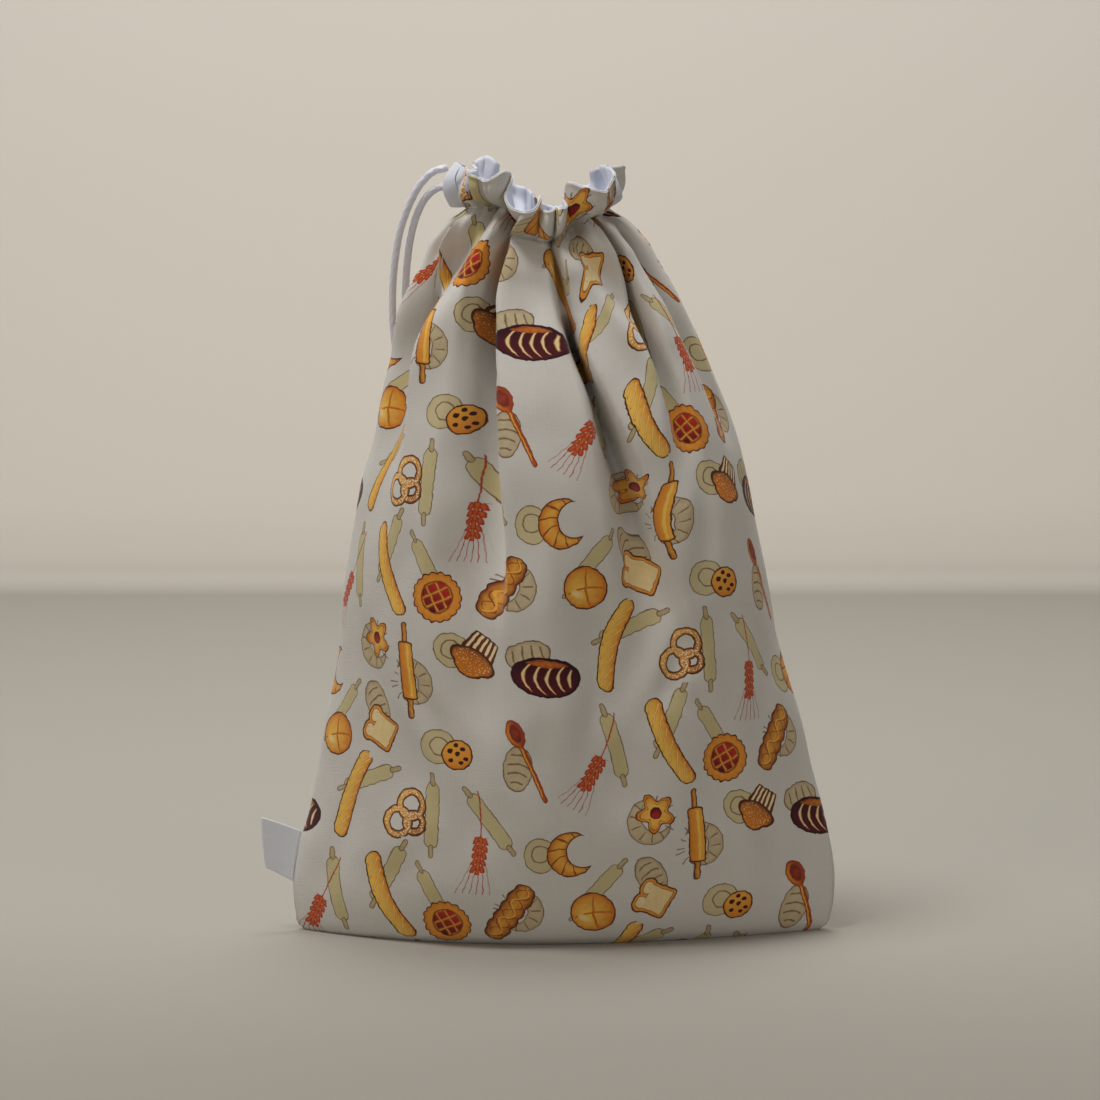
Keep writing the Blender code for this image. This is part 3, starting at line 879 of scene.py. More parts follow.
def braidedTube(name, centres, thick=cordSizes["thick"], closed=False, tip=False):
    s = cordSizes
    side, up = tubeFrames(centres, closed)
    gaps = np.linalg.norm(np.diff(centres, axis=0), axis=1)
    run = np.concatenate([[0.0], np.cumsum(gaps)])
    angle = 2 * math.pi * np.arange(s["sides"]) / s["sides"]
    radius = 0.5 * thick - s["relief"] * (1.0 - plaitRelief(run[:, None], angle[None, :]))
    if tip:
        radius *= np.sqrt(np.clip((run[-1] - run) / s["dome"], s["domeLeast"], 1.0))[:, None]
    spokes = side[:, None] * np.cos(angle)[:, None] + up[:, None] * np.sin(angle)[:, None]
    points = (centres[:, None] + spokes * radius[:, :, None]).reshape(-1, 3)
    n, m = len(centres), s["sides"]
    faces = []
    for i in range(n if closed else n - 1):
        for j in range(m):
            k, h = (j + 1) % m, (i + 1) % n
            faces.append((i * m + j, i * m + k, h * m + k, h * m + j))
    if not closed:
        faces.append(tuple(range(m - 1, -1, -1)))
        faces.append(tuple((n - 1) * m + j for j in range(m)))
    girth = math.pi * thick / m
    cloth = [(run[min(k // m, n - 1)], (k % m) * girth) for face in faces for k in face]
    return makeMesh(name, points, faces, (cordCotton,), {"cloth": cloth})


cordCotton = whiteMaterial(
    "cordCotton", clothLook["cord"], thread=0.3, depth=0.8, roughness=0.72, bumpBy=0.0001
)
upperPath = pathPoints(upperRoute, cordSizes["step"])
lowerPath = pathPoints(lowerRoute, cordSizes["step"])
upperCord = braidedTube("upperCord", upperPath)
lowerCord = braidedTube("lowerCord", lowerPath)
tailOne = braidedTube("leftTail", pathPoints(leftTail, cordSizes["step"]), tip=True)
tailTwo = braidedTube("rightTail", pathPoints(rightTail, cordSizes["step"]), tip=True)
t = 2 * math.pi * np.arange(knotSizes["steps"]) / knotSizes["steps"]
trefoil = (np.sin(t) + 2 * np.sin(2 * t), np.cos(t) - 2 * np.cos(2 * t), -np.sin(3 * t))
loop = np.array(knotSizes["at"]) + np.stack(trefoil, axis=1) * np.array(knotSizes["reach"])
cordKnot = braidedTube("cordKnot", loop, thick=knotSizes["thick"], closed=True)
for piece, node in (
    (upperCord, "cord_upper"),
    (lowerCord, "cord_lower"),
    (tailOne, "tail_left"),
    (tailTwo, "tail_right"),
    (cordKnot, "cord_knot"),
):
    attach(piece, "root")
    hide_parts(node)
print("cords ready", round(pathLength(upperPath)), round(pathLength(lowerPath)), "mm")


# ---- the bag's wall: sections from the floor to the casing's stitch line
stations = table(
    "height left right front back corner",
    (0, -135, 133.5, -36, 36, 1), (2.5, -138, 137, -40, 40, 1),
    (9, -139.5, 139.5, -44.5, 44.5, 1), (22, -140.5, 141, -50, 50, 0.96),
    (42, -138, 139.5, -56, 56, 0.9), (66, -132, 134, -61, 61.5, 0.8),
    (96, -125, 126.5, -65.5, 66.5, 0.66), (130, -119.5, 117.5, -69, 70, 0.48),
    (165, -115, 109.5, -71, 71, 0.3), (200, -109.5, 103, -70, 69.5, 0.16),
    (232, -103.5, 96, -66.5, 66, 0.07), (262, -96.5, 87.5, -61, 60.5, 0),
    (288, -90.5, 78, -54, 54, 0), (310, -86, 68.5, -47.5, 47.5, 0),
    (328, -81, 60, -41.5, 41.5, 0), (343, -75, 51.5, -36, 36, 0), (356, -67.5, 42.5, -31, 31, 0),
    (366, -60.5, 34.5, -27.5, 27.5, 0), (375, -57, 30, -25.5, 25.5, 0),
)

# Folds that run down from the casing to foot. At is the share of the way around from the left
# seam, along the front. Below its knee a fold leans along, and its left side spreads. Pinch is how
# sharp the valley is, tuck how far its right side laps over it, and crown its share of depth over
# the knee.
folds = table(
    "at left right deep foot knee lean spread tuck pinch crown",
    (0.062, 0.036, 0.036, 13, 195, 375, 0.004, 0, 3, 0.6, 1),
    (0.216, 0.058, 0.017, 37, 128, 375, -0.023, 0.5, 14, 0.15, 1),
    (0.28, 0.012, 0.018, 45, 112, 330, 0.097, 5, 9, 0.15, 0.28),
    (0.396, 0.026, 0.028, 22, 222, 375, -0.024, 0, 8, 0.5, 1),
    (0.452, 0.026, 0.028, 12, 245, 375, 0, 0, 3, 0.6, 1),
    (0.54, 0.034, 0.034, 14, 215, 375, 0, 0, 0, 0.6, 1),
    (0.622, 0.032, 0.042, 25, 178, 375, -0.01, 0, 8, 0.7, 1),
    (0.705, 0.036, 0.032, 19, 200, 375, 0.008, 0, 4, 0.7, 1),
    (0.788, 0.032, 0.042, 26, 170, 375, 0.006, 0, -8, 0.7, 1),
    (0.868, 0.034, 0.032, 16, 215, 375, 0, 0, 4, 0.6, 1),
    (0.94, 0.03, 0.03, 11, 245, 375, 0, 0, 0, 0.6, 1),
)
bagSizes = {
    "stitchHeight": 375.0,
    "gatherHeight": 335.0,
    "foldFull": 318.0,
    "foldAtCasing": 0.42,
    "foldAtEdge": 0.25,
    "tuckAtCasing": 0.65,
    "crownUnder": 26.0,
    "crownOver": 6.0,
    "flare": 1.3,
    "skew": 0.22,
    "skewTop": 120.0,
    "dipFoot": 265.0,
    "columns": 288,
    "ruffleTimes": 3,
    "cloth": 0.6,
    "liningDepth": 1.2,
    "casingDepth": 0.7,
    "liningRoll": 0.35,  # the lining rolls a little over the casing's edge
    "turnStep": 0.002,
    "edgeFrom": 0.8,
    "foldDeep": 7.0,  # deeper in than this there is no ridge
}

dents = table(
    "at height wide tall deep",
    (0.3, 145, 0.068, 125, 10), (0.178, 150, 0.05, 115, 7), (0.285, 150, 0.05, 46, 3.5),
    (0.18, 132, 0.04, 50, 2.5), (0.375, 88, 0.045, 34, 3), (0.11, 92, 0.05, 40, 2),
    (0.255, 44, 0.06, 22, 2), (0.62, 120, 0.05, 44, 3), (0.745, 82, 0.055, 36, 3),
    (0.88, 128, 0.045, 44, 2.5),
)
dips = table(
    "at left right deep",
    (0.264, 0.098, 0.132, 18), (0.4, 0.09, 0.1, 5), (0.728, 0.13, 0.12, 13),
)

# The casing's ruffled top edge by place around: its height over the stitch line, how far it leans
# out, and how far it sways along. A low height on an outward loop makes a cup that shows the
# lining.
ruffles = table(
    "at height out sway",
    (0, 20, -3, 0), (0.03, 22, -2, 0), (0.062, 21, -1.5, 0), (0.09, 19, -4.5, 0),
    (0.108, 18.5, -3.5, 2.5), (0.121, 17, 5, -2), (0.138, 15, 11.5, -1.5), (0.156, 13, 13.5, 0),
    (0.172, 15, 12, 1.5), (0.183, 19.5, 4, 2.5), (0.192, 20, -8.5, 0), (0.2, 18.5, -2, -1),
    (0.206, 13, 6.5, -4), (0.213, 9, 12, -3), (0.221, 9, 14.5, -0.5), (0.23, 11, 14.5, 1.5),
    (0.238, 15, 11, 3.5), (0.245, 22, 4, 3.5), (0.253, 21, -8.5, 0), (0.261, 17.5, 1, -1.5),
    (0.269, 16, 7.5, 0), (0.277, 17, 2.5, 1), (0.284, 18, -5, 0), (0.291, 15.5, 6, -0.5),
    (0.299, 16, 4, 1), (0.307, 18.5, -6.5, 0), (0.315, 23, -1, -2), (0.323, 23.5, 7.5, -4.5),
    (0.335, 19.5, 12.5, -3.5), (0.35, 15.5, 14, -2.5), (0.366, 13, 12.5, -1.5),
    (0.386, 14.5, 10, -1), (0.408, 18.5, 6.5, -0.5), (0.432, 23, 0, 0), (0.46, 23, -8, 0),
    (0.48, 21.5, -8, -0.5), (0.5, 20.5, -7, 0), (0.52, 21, -7, 0), (0.54, 20, -8, 0),
    (0.56, 21, 4, -2), (0.58, 19.5, 9, 0), (0.6, 20.5, 6, 2), (0.62, 20, -3.5, 0),
    (0.636, 20, 3, -2), (0.655, 16, 8, 0), (0.674, 18, 4, 2), (0.69, 15, -4, 0),
    (0.706, 12.5, 5, -1.5), (0.722, 13, 8.5, 0.5), (0.738, 14.5, 3, 1.5), (0.752, 16, -4.5, 0),
    (0.772, 18, 3, -2), (0.795, 17, 9, 0), (0.815, 18.5, 6, 2), (0.835, 23, -4, 0),
    (0.855, 26, 4.5, -2), (0.876, 21.5, 8, 0), (0.893, 20, -3.5, 1), (0.912, 18.5, 5, -1),
    (0.93, 17.5, 6.5, 0.5), (0.95, 19, -2, 0), (0.975, 20, 2.5, 0),
)
cinch = {
    "deep": 7.2,
    "below": 4.2,
    "above": 0.15,
    "puff": 3.8,
    "puffTop": 1.08,
    "puffByEdge": 0.08,
    "puffRange": (0.2, 1.3),
    "shoulder": 2.6,
    "shoulderAt": 15.0,
    "shoulderWide": 9.0,
}

# Creases in the filled cloth: from one place and height to another, half width, depth, and the
# share of its depth that stands up beside it
creases = table(
    "at height toAt toHeight wide deep lip",
    (0.182, 400, 0.036, 288, 12, 12, 0.45), (0.306, 396, 0.392, 294, 9, 9, 0.45),
    (0.243, 384, 0.246, 322, 5, 3.2, 0.4), (0.215, 262, 0.236, 176, 5, 1.6, 0.5),
    (0.3, 236, 0.33, 168, 6, 2.8, 0.5), (0.335, 176, 0.3, 122, 7, 2.4, 0.4),
    (0.372, 168, 0.318, 112, 6, 2, 0.5), (0.285, 150, 0.262, 96, 7, 1.8, 0.5),
    (0.15, 206, 0.194, 146, 7, 2.3, 0.4), (0.118, 140, 0.156, 96, 7, 1.8, 0.4),
    (0.395, 250, 0.375, 178, 7, 1.8, 0.5), (0.13, 240, 0.105, 175, 7, 1.6, 0.4),
    (0.245, 120, 0.205, 82, 8, 1.2, 0.4), (0.34, 140, 0.395, 112, 7, 1.5, 0.5),
    (0.3, 84, 0.35, 66, 8, 1.1, 0.4), (0.42, 74, 0.455, 22, 8, 1.6, 0.5),
    (0.055, 80, 0.03, 20, 8, 1.6, 0.5), (0.14, 60, 0.1, 30, 9, 1.1, 0.4),
    (0.455, 160, 0.43, 96, 8, 1.4, 0.4), (0.06, 170, 0.085, 110, 8, 1.3, 0.4),
    (0.64, 190, 0.6, 130, 7, 2, 0.5), (0.7, 200, 0.735, 132, 7, 2, 0.5),
    (0.805, 180, 0.78, 110, 8, 1.8, 0.5), (0.67, 92, 0.72, 60, 8, 1.4, 0.4),
    (0.9, 210, 0.93, 150, 7, 1.6, 0.5), (0.56, 90, 0.535, 24, 8, 1.6, 0.5),
    (0.95, 84, 0.975, 22, 8, 1.6, 0.5),
)
creaseShape = {
    "wayRound": 560.0,  # mm, to read a crease's direction from places around and heights
    "fade": 0.8,
    "lips": ((1.7, 1.0), (-1.9, 0.6)),
}

puckerSizes = {
    "count": 92,
    "seed": 11,
    "jitter": 0.4,
    "wide": (0.005, 0.011),
    "deep": (0.6, 2.4),
    "reach": (7.0, 48.0),
    "fall": 1.3,
    "lostAtEdge": 0.55,
}
pick = random.Random(puckerSizes["seed"])
puckers = [
    (
        (i + pick.uniform(-puckerSizes["jitter"], puckerSizes["jitter"])) / puckerSizes["count"],
        pick.uniform(*puckerSizes["wide"]),
        pick.uniform(*puckerSizes["deep"]),
        pick.uniform(*puckerSizes["reach"]),
    )
    for i in range(puckerSizes["count"])
]
rumple = {
    "size": 44.0,
    "deep": 2.3,
    "fineSize": 15.0,
    "fineDeep": 0.65,
    "upright": 0.6,  # fine rumples are longer upwards than across
    "apart": (9.0, 4.0, 2.0),
    "foot": (2.0, 40.0),
    "top": (300.0, 360.0),
    "lostAtTop": 0.6,
}


def bareSection(turn, height):
    heights = column(stations, "height")
    left, right, front, back, corner = (
        smoothCurve(height, heights, column(stations, name))
        for name in ("left", "right", "front", "back", "corner")
    )
    turn = turn % 1.0
    onFront = turn < 0.5
    way = np.where(onFront, 2.0 * turn, 2.0 - 2.0 * turn)
    corner = np.clip(corner, 0.0, 1.0)
    across = corner * (2.0 * way - 1.0) - (1.0 - corner) * np.cos(math.pi * way)
    bulge = np.clip(1.0 - across**2, 0.0, 1.0) ** (0.5 + 0.5 * corner)
    lean = 1.0 - bagSizes["skew"] * across * (1.0 - ease(height, 0.0, bagSizes["skewTop"]))
    x = 0.5 * (left + right) + 0.5 * (right - left) * across
    y = bulge * np.where(onFront, front * lean, back)
    return np.stack([x, y], axis=-1)


def foldMoves(turn, height):
    s = bagSizes
    inward, sideways = np.zeros_like(turn), np.zeros_like(turn)
    gather = ease(height, s["gatherHeight"], s["stitchHeight"])
    for fold in folds:
        rise = ease(height, fold.foot, s["foldFull"])
        drop = np.clip((fold.knee - height) / (fold.knee - fold.foot), 0.0, 1.0)
        offset = around(turn, fold.at + fold.lean * drop)
        left = fold.left * (1.0 + fold.spread * drop)
        past = ease(height, fold.knee - s["crownUnder"], fold.knee + s["crownOver"])
        kept = 1.0 - (1.0 - fold.crown) * past
        deep = fold.deep * rise * kept * (1.0 - (1.0 - s["foldAtCasing"]) * gather)
        pinch = fold.pinch * rise
        soft, sharp = bump(offset, left, fold.right), cusp(offset, left, fold.right)
        inward += deep * (soft * (1.0 - pinch) + pinch * sharp)
        tuck = fold.tuck * rise * kept * (1.0 - (1.0 - s["tuckAtCasing"]) * gather)
        sideways -= tuck * bump(offset - fold.right, fold.right, fold.right)
    for dent in dents:
        beside = bump(around(turn, dent.at), dent.wide, dent.wide)
        inward += dent.deep * beside * bump(height - dent.height, dent.tall, dent.tall)
    return inward, sideways


def creaseDepth(turn, height):
    s = creaseShape
    inward = np.zeros_like(turn)
    for crease in creases:
        rise = crease.toHeight - crease.height
        run = np.array([around(crease.toAt, crease.at) * s["wayRound"], rise])
        long = float(np.hypot(*run))
        along = run / long
        x, y = around(turn, crease.at) * s["wayRound"], height - crease.height
        share = (x * along[0] + y * along[1]) / long
        aside = (x * along[1] - y * along[0]) / crease.wide
        fade = np.sin(math.pi * np.clip(share, 0.0, 1.0)) ** s["fade"]
        lip = sum(size * np.exp(-((aside - at) ** 2)) for at, size in s["lips"])
        inward += crease.deep * fade * (np.exp(-(aside**2)) - crease.lip * lip)
    return inward


def puckerDepth(turn, height, casing):
    s = puckerSizes
    inward = np.zeros_like(turn)
    below = bagSizes["stitchHeight"] - height
    for at, wide, deep, reach in puckers:
        fade = np.exp(-((below / reach) ** s["fall"]))
        fade = np.where(casing > 0, 1.0 - s["lostAtEdge"] * casing, fade)
        inward += deep * fade * bump(around(turn, at), wide, wide)
    return inward


def rumpleDepth(points):
    r = rumple
    out = np.empty(len(points))
    for i, p in enumerate(points):
        broad = noise.noise(Vector(p) / r["size"])
        stretched = Vector((p[0], p[1], p[2] * r["upright"]))
        fine = noise.noise(stretched / r["fineSize"] + Vector(r["apart"]))
        out[i] = r["deep"] * broad + r["fineDeep"] * fine
    return out


def wallPoints(turn, height, casing=0.0, fine=True):
    s = bagSizes
    turn = np.asarray(turn, float)
    height = np.broadcast_to(np.asarray(height, float), turn.shape)
    casing = np.broadcast_to(np.asarray(casing, float), turn.shape)
    spot = bareSection(turn, height)
    along = bareSection(turn + s["turnStep"], height) - bareSection(turn - s["turnStep"], height)
    along /= np.linalg.norm(along, axis=-1, keepdims=True)
    outward = np.stack([along[..., 1], -along[..., 0]], axis=-1)
    inward, sideways = foldMoves(turn, height)
    at = column(ruffles, "at")
    edgeHeight, edgeOut, sway = (
        roundCurve(turn, at, column(ruffles, name)) for name in ("height", "out", "sway")
    )
    kept = 1.0 - (1.0 - s["foldAtEdge"]) * ease(casing, 0.0, s["edgeFrom"])
    out = edgeOut * casing ** s["flare"] - inward * kept
    if fine:
        c = cinch
        below = s["stitchHeight"] - height
        ridge = np.clip(1.0 - inward / s["foldDeep"], 0.0, 1.0)
        out = out - creaseDepth(turn, height) - puckerDepth(turn, height, casing)
        drawn = np.exp(-((below / c["below"]) ** 2)) * np.exp(-((casing / c["above"]) ** 2))
        puff = np.sin(math.pi * np.clip(casing * c["puffTop"], 0.0, 1.0))
        puff = puff * np.clip(0.5 + edgeOut * c["puffByEdge"], *c["puffRange"])
        shoulder = np.exp(-(((below - c["shoulderAt"]) / c["shoulderWide"]) ** 2)) * ridge
        out = out - c["deep"] * drawn + c["puff"] * puff + c["shoulder"] * shoulder
    moved = sideways * (1.0 - casing) + sway * casing
    spot = spot + outward * out[..., None] + along * moved[..., None]
    dip = sum(d.deep * bump(around(turn, d.at), d.left, d.right) for d in dips)
    level = height - dip * ease(height, s["dipFoot"], s["stitchHeight"]) + edgeHeight * casing
    return np.concatenate([spot, level[..., None]], axis=-1)


# Rows up the wall, closest at the floor and under the casing, whose own rows have more columns.
# Below, each run has its start, its end and its step, or for the casing its number of rows.
wallRows = {
    "foot": (0.0, 0.8, 2.5, 5.0),
    "filled": (8.0, 328.0, 3.5),
    "gathered": (328.0, 374.0, 2.0),
    "casing": (0.06, 1.0, 16),
}
runs = (np.arange(*wallRows[name]) for name in ("filled", "gathered"))
bodyHeights = np.concatenate([wallRows["foot"], *runs, [bagSizes["stitchHeight"]]])
casingShares = np.linspace(*wallRows["casing"])


def gridNormals(grid):
    acrossWay = np.roll(grid, -1, axis=1) - np.roll(grid, 1, axis=1)
    upWay = np.gradient(grid, axis=0)
    normal = np.cross(acrossWay, upWay)
    return normal / np.maximum(np.linalg.norm(normal, axis=-1, keepdims=True), 1e-9)


def wallBlocks():  # the filled part, and the casing over it
    s, r = bagSizes, rumple
    body = [(height, 0.0) for height in bodyHeights]
    casing = [(s["stitchHeight"], share) for share in casingShares]
    blocks = []
    for rows, count in ((body, s["columns"]), (casing, s["columns"] * s["ruffleTimes"])):
        turn = np.arange(count) / count
        grid = np.array([wallPoints(turn, *row) for row in rows])
        depth = rumpleDepth(grid.reshape(-1, 3)).reshape(grid.shape[:2])
        nearTop = ease(grid[..., 2], *r["top"])
        keep = ease(grid[..., 2], *r["foot"]) * (1.0 - r["lostAtTop"] * nearTop)
        grid = grid + gridNormals(grid) * (depth * keep)[..., None]
        grid[..., 2] = np.maximum(grid[..., 2], 0.0)
        blocks.append(grid)
    return blocks


# A closed shell from the blocks. Corners are counted with one more column than there are points, so
# that a map can go all the way around: each loop has its point and its place in such a map.
def shellMesh(blocks, depths):
    counts = [block.shape[1] for block in blocks for _ in block]
    starts = np.concatenate([[0], np.cumsum(counts)])
    mapStarts = np.concatenate([[0], np.cumsum([n + 1 for n in counts])])
    total, rows = int(starts[-1]), len(counts)
    faces, spots = [], []

    def addFace(*corners):
        faces.append(tuple(int(k * total + starts[r] + j % counts[r]) for k, r, j in corners))
        spots.extend(int(mapStarts[r] + j) for _, r, j in corners)

    def addWall(side, *corners):  # turned over on the inner side
        addFace(*((side, r, j) for r, j in (corners[::-1] if side else corners)))

    for side in (0, 1):
        for r in range(rows - 1):
            times = counts[r + 1] // counts[r]
            for j in range(counts[r]):
                upper = tuple((r + 1, times * (j + 1) - i) for i in range(times + 1))
                addWall(side, (r, j), (r, j + 1), *upper)
    last = rows - 1
    for j in range(counts[-1]):
        addFace((0, last, j), (0, last, j + 1), (1, last, j + 1), (1, last, j))
    wallFaces = len(faces)
    base = counts[0]
    for side in (0, 1):
        for j in range(base // 2):
            corners = dict.fromkeys((j, (base - j) % base, base - j - 1, j + 1))
            addWall(side, *((0, corner) for corner in corners))
    points = []
    for depth in depths:
        for block, inset in zip(blocks, depth):
            sheet = block - gridNormals(block) * inset
            sheet[..., 2] = np.maximum(sheet[..., 2], inset)
            points.append(sheet.reshape(-1, 3))
    return np.concatenate(points), faces, np.array(spots), wallFaces


# Where each point lies on the flat cloth, in mm: around from the left seam, and up. The cloth that
# the gathers hide is left out in the valleys, so the print keeps its size on the ridges.
flatCloth = {
    "filled": (25.0, 140.0),  # between these heights the bag is full, and as wide as the flat cloth
    "foldedFrom": -10.0,
    "foldedAt": 70.0,
    "valleyWide": 7.0,
    "easedOut": 2.2,
    "casingStart": 1.2,
}


def clothPlaces(blocks):
    f = flatCloth
    grid, ruffle = blocks
    closed = np.concatenate([grid, grid[:, :1]], axis=1)
    columns = grid.shape[1]
    steps = np.linalg.norm(np.diff(closed, axis=1), axis=2)
    arc = np.concatenate([np.zeros((len(grid), 1)), np.cumsum(steps, axis=1)], axis=1)
    rise = np.linalg.norm(np.diff(closed, axis=0), axis=2)
    up = np.concatenate([np.zeros((1, columns + 1)), np.cumsum(rise, axis=0)], axis=0)
    filled = (bodyHeights > f["filled"][0]) & (bodyHeights < f["filled"][1])
    flat = arc[filled].mean(axis=0)
    marks = [0.0]
    for near, ahead in zip(folds, folds[1:]):
        marks.append(0.5 * (near.at + near.right + ahead.at - ahead.left))
    marks[marks.index(min(marks, key=lambda m: abs(m - 0.5)))] = 0.5
    ridges = [int(round(m * columns)) for m in marks] + [columns]
    across = np.empty_like(arc)
    for fold, first, last in zip(folds, ridges, ridges[1:]):
        part = slice(first, last + 1)
        for row, height in enumerate(bodyHeights):
            drop = np.clip((fold.knee - height) / (fold.knee - fold.foot), 0.0, 1.0)
            valley = int(round((fold.at + fold.lean * drop) * columns))
            valley = min(max(valley, first + 1), last - 1)
            here = arc[row, part] - arc[row, first]
            hidden = flat[last] - flat[first] - here[-1]
            folded = ease(height, fold.foot + f["foldedFrom"], fold.foot + f["foldedAt"])
            width = here[-1] * (1.0 - folded) + f["valleyWide"] * folded
            if hidden < 0.0:  # more folded than there is cloth: eased out on the valley's slopes
                width = min(max(width, -f["easedOut"] * hidden), here[-1])
            share = ease((arc[row, part] - arc[row, valley]) / width + 0.5, 0.0, 1.0)
            share = (share - share[0]) / (share[-1] - share[0])
            across[row, part] = flat[first] + here + hidden * share
    fine = ruffle.shape[1]
    turn = np.arange(fine + 1) / fine
    coarse = np.arange(columns + 1) / columns
    topAcross, topUp = np.interp(turn, coarse, across[-1]), np.interp(turn, coarse, up[-1])
    edge = np.concatenate([ruffle, ruffle[:, :1]], axis=1)
    tall = np.cumsum(np.linalg.norm(np.diff(edge, axis=0), axis=2), axis=0)
    tall = np.concatenate([np.zeros((1, fine + 1)), tall], axis=0) + f["casingStart"]
    acrossAll = np.concatenate([across.ravel(), np.tile(topAcross, len(ruffle))])
    upAll = np.concatenate([up.ravel(), (topUp + tall).ravel()])
    seamAll = np.concatenate([(up - up[-1]).ravel(), tall.ravel()])
    turnAll = np.concatenate([np.tile(coarse, len(grid)), np.tile(turn, len(ruffle))])
    return acrossAll, upAll, seamAll, turnAll


def motifDiscs():
    kinds = [motif.draw.__name__ for motif in motifs]
    found = []
    for place in places:
        kind = kinds.index(place.motif)
        motif = motifs[kind]
        discs = list(footprints[place.motif])
        for x, y, r in footprints[motif.pale.__name__]:
            dx, dy = spun(x, y, -motif.paleTurn)
            discs.append((motif.paleX + dx, motif.paleY + dy, r))
        for x, y, r in np.array(discs) * repeatSize["enlarge"]:
            dx, dy = spun(x, y, -place.turn)
            turn = math.radians(place.turn)
            found.append((kind, place.x, place.y, turn, place.x + dx, place.y + dy, r))
    return found


# Gives each face the motif nearest to it on the flat cloth: its kind, place and angle
def shareOut(x, y):
    wide, tall, discs = repeatSize["wide"], repeatSize["tall"], motifDiscs()
    tile = np.floor(x / wide)
    best = np.full(len(x), np.inf)
    chosen = np.zeros((len(x), 4))
    for stepX in (-1, 0, 1):
        drop = np.where((tile + stepX) % 2 > 0.5, tall * 0.5, 0.0)
        baseY = np.floor((y - drop) / tall)
        for stepY in (-1, 0, 1):
            originX, originY = (tile + stepX) * wide, (baseY + stepY) * tall + drop
            for kind, px, py, angle, dx, dy, r in discs:
                away = np.hypot(x - originX - dx, y - originY - dy) - r
                near = away < best
                best[near] = away[near]
                chosen[near, 0], chosen[near, 3] = kind, angle
                chosen[near, 1], chosen[near, 2] = (originX + px)[near], (originY + py)[near]
    return chosen


def makeOuter(blocks, across, up, seamUp, turn):
    thick = bagSizes["cloth"]
    points, faces, spots, wallFaces = shellMesh(blocks, ((0.0, 0.0), (thick, thick)))
    loops = np.array([len(face) for face in faces])
    first = np.concatenate([[0], np.cumsum(loops)[:-1]])
    owner = np.repeat(np.arange(len(faces)), loops)

    def middle(values):
        return np.add.reduceat(values[spots], first) / loops

    onBack = middle(turn) > 0.5
    shift = np.where(onBack[:, None], repeatSize["backShift"], (0.0, 0.0))
    chosen = shareOut(middle(across) + shift[:, 0], middle(up) + shift[:, 1])
    dx = across[spots] - (chosen[:, 1] - shift[:, 0])[owner]
    dy = up[spots] - (chosen[:, 2] - shift[:, 1])[owner]
    c, s = np.cos(chosen[:, 3])[owner], np.sin(chosen[:, 3])[owner]
    maps = {
        "motif": np.stack([dx * c + dy * s, dy * c - dx * s], axis=1) / repeatSize["enlarge"],
        "cloth": np.stack([across[spots], up[spots]], axis=1),
        "seam": np.stack([across[spots], seamUp[spots]], axis=1),
    }
    for name in ("motif", "seam"):
        maps[name][owner >= wallFaces] = repeatSize["none"]
    materials = [printMaterial(motif) for motif in motifs]
    return makeMesh("outerCloth", points, faces, materials, maps, chosen[:, 0].astype(int))


def makeLining(blocks, across, up):
    s = bagSizes
    blocks[1][-1, :, 2] += s["liningRoll"]
    insets = (s["liningDepth"], s["casingDepth"])
    points, faces, spots, _ = shellMesh(blocks, (insets, [inset + s["cloth"] for inset in insets]))
    cloth = np.stack([across[spots], up[spots]], axis=1)
    return makeMesh("liningCloth", points, faces, (liningCotton,), {"cloth": cloth})


liningCotton = whiteMaterial(
    "liningCotton", clothLook["lining"], thread=0.45, depth=0.9, roughness=0.88, bumpBy=0.00014
)
labelTape = whiteMaterial(
    "labelTape", clothLook["tape"], thread=0.7, depth=0.5, roughness=0.6, bumpBy=0.00012
)

wall = wallBlocks()
wallPlaces = clothPlaces(wall)
outerCloth = makeOuter(wall, *wallPlaces)
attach(outerCloth, "root")
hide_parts("bag_outer")
liningCloth = makeLining(wall, *wallPlaces[:2])
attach(liningCloth, "root")
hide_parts("lining")
print("cloth ready", len(outerCloth.data.polygons), len(liningCloth.data.polygons), "faces")


# ---- the white facing over the casing's open end, and the bare label in the left seam
facingSizes = {
    "start": -0.026,
    "stop": 0.109,
    "columns": 48,
    "levels": 34,
    "middle": 0.52,
    "sides": 0.12,
    "round": 0.5,
    "puff": 5.0,
    "thick": 1.0,
    "lift": 0.5,
}
labelSizes = {
    "outTop": 20.5,
    "outFoot": 13.8,
    "tall": 26.5,
    "top": 52.0,
    "thick": 0.9,
    "curl": 4.0,
    "lift": 8.0,
    "gap": 0.5,
    "steps": 26,
    "rows": 46,
}


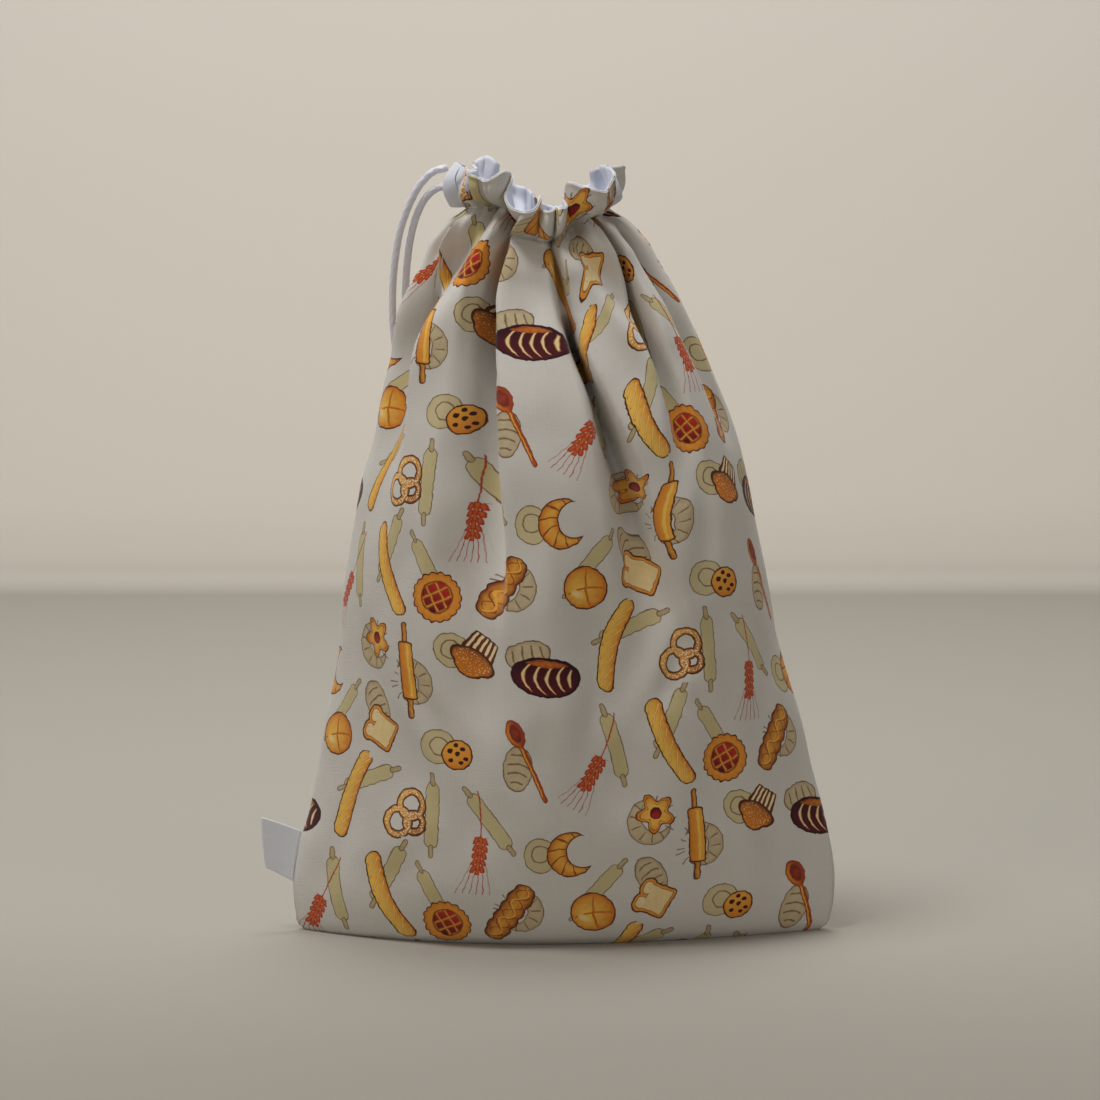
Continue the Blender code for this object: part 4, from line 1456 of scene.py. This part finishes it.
def slabMesh(name, sheets, material):
    sheets = np.array(sheets)
    rows, wide = sheets.shape[1:3]
    faces = []

    def addFace(*corners):
        faces.append(tuple((side * rows + row) * wide + step for side, row, step in corners))

    for side in (0, 1):
        for row in range(rows - 1):
            for step in range(wide - 1):
                corners = [(row, step), (row, step + 1), (row + 1, step + 1), (row + 1, step)]
                addFace(*((side, *corner) for corner in (corners if side else corners[::-1])))
    border = [(0, step) for step in range(wide)]
    border += [(row, wide - 1) for row in range(1, rows)]
    border += [(rows - 1, step) for step in range(wide - 2, -1, -1)]
    border += [(row, 0) for row in range(rows - 2, 0, -1)]
    for here, ahead in zip(border, border[1:] + border[:1]):
        addFace((0, *here), (0, *ahead), (1, *ahead), (1, *here))
    across = np.linalg.norm(np.diff(sheets[0, 0], axis=0), axis=1).mean()
    upward = np.linalg.norm(np.diff(sheets[0, :, 0], axis=0), axis=1).mean()
    cloth = [(k % wide * across, (k // wide) % rows * upward) for face in faces for k in face]
    return makeMesh(name, sheets.reshape(-1, 3), faces, (material,), {"cloth": cloth})


def makeFacing(material):
    f = facingSizes
    turns = np.linspace(f["start"], f["stop"], f["columns"])
    crown = np.sin(np.linspace(0.0, math.pi, f["columns"]))
    arch = np.clip(crown, 0.0, 1.0) ** f["round"]
    sheets = []
    for lift in (f["lift"], f["lift"] + f["thick"]):
        sheet = []
        for level in np.linspace(-1.0, 1.0, f["levels"]):
            up = f["middle"] * (1.0 + level * (f["sides"] + (1.0 - f["sides"]) * arch))
            height = bagSizes["stitchHeight"]
            puff = f["puff"] * crown * math.cos(0.5 * math.pi * level)
            spots, ahead, behind = (
                wallPoints(turns + step * bagSizes["turnStep"], height, up, fine=False)
                for step in (0, 1, -1)
            )
            along = ahead - behind
            outward = np.stack([along[:, 1], -along[:, 0]], axis=1)
            outward /= np.linalg.norm(outward, axis=1, keepdims=True)
            spots[:, :2] += outward * (lift + puff)[:, None]
            sheet.append(spots)
        sheets.append(sheet)
    return slabMesh("casingFacing", sheets, material)


def makeLabel(material):
    s = labelSizes
    out = np.linspace(1.0, 0.0, s["steps"])
    sheets = []
    for side in (0.5, -0.5):
        sheet = []
        for share in np.linspace(0.0, 1.0, s["rows"]):
            level = s["top"] + (share - 1.0) * s["tall"]
            seam = wallPoints(np.zeros(1), level, fine=False)[0, 0]
            x = seam - s["gap"] - (s["outFoot"] + (s["outTop"] - s["outFoot"]) * share) * out
            y = side * s["thick"] - s["curl"] * out**2
            sheet.append(np.stack([x, y, level + s["lift"] * out], axis=1))
        sheets.append(sheet)
    return slabMesh("sideLabel", sheets, material)


casingFacing = makeFacing(liningCotton)
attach(casingFacing, "root")
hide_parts("casing_facing")
sideLabel = makeLabel(labelTape)
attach(sideLabel, "root")
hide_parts("side_label")
print("facing and label ready")
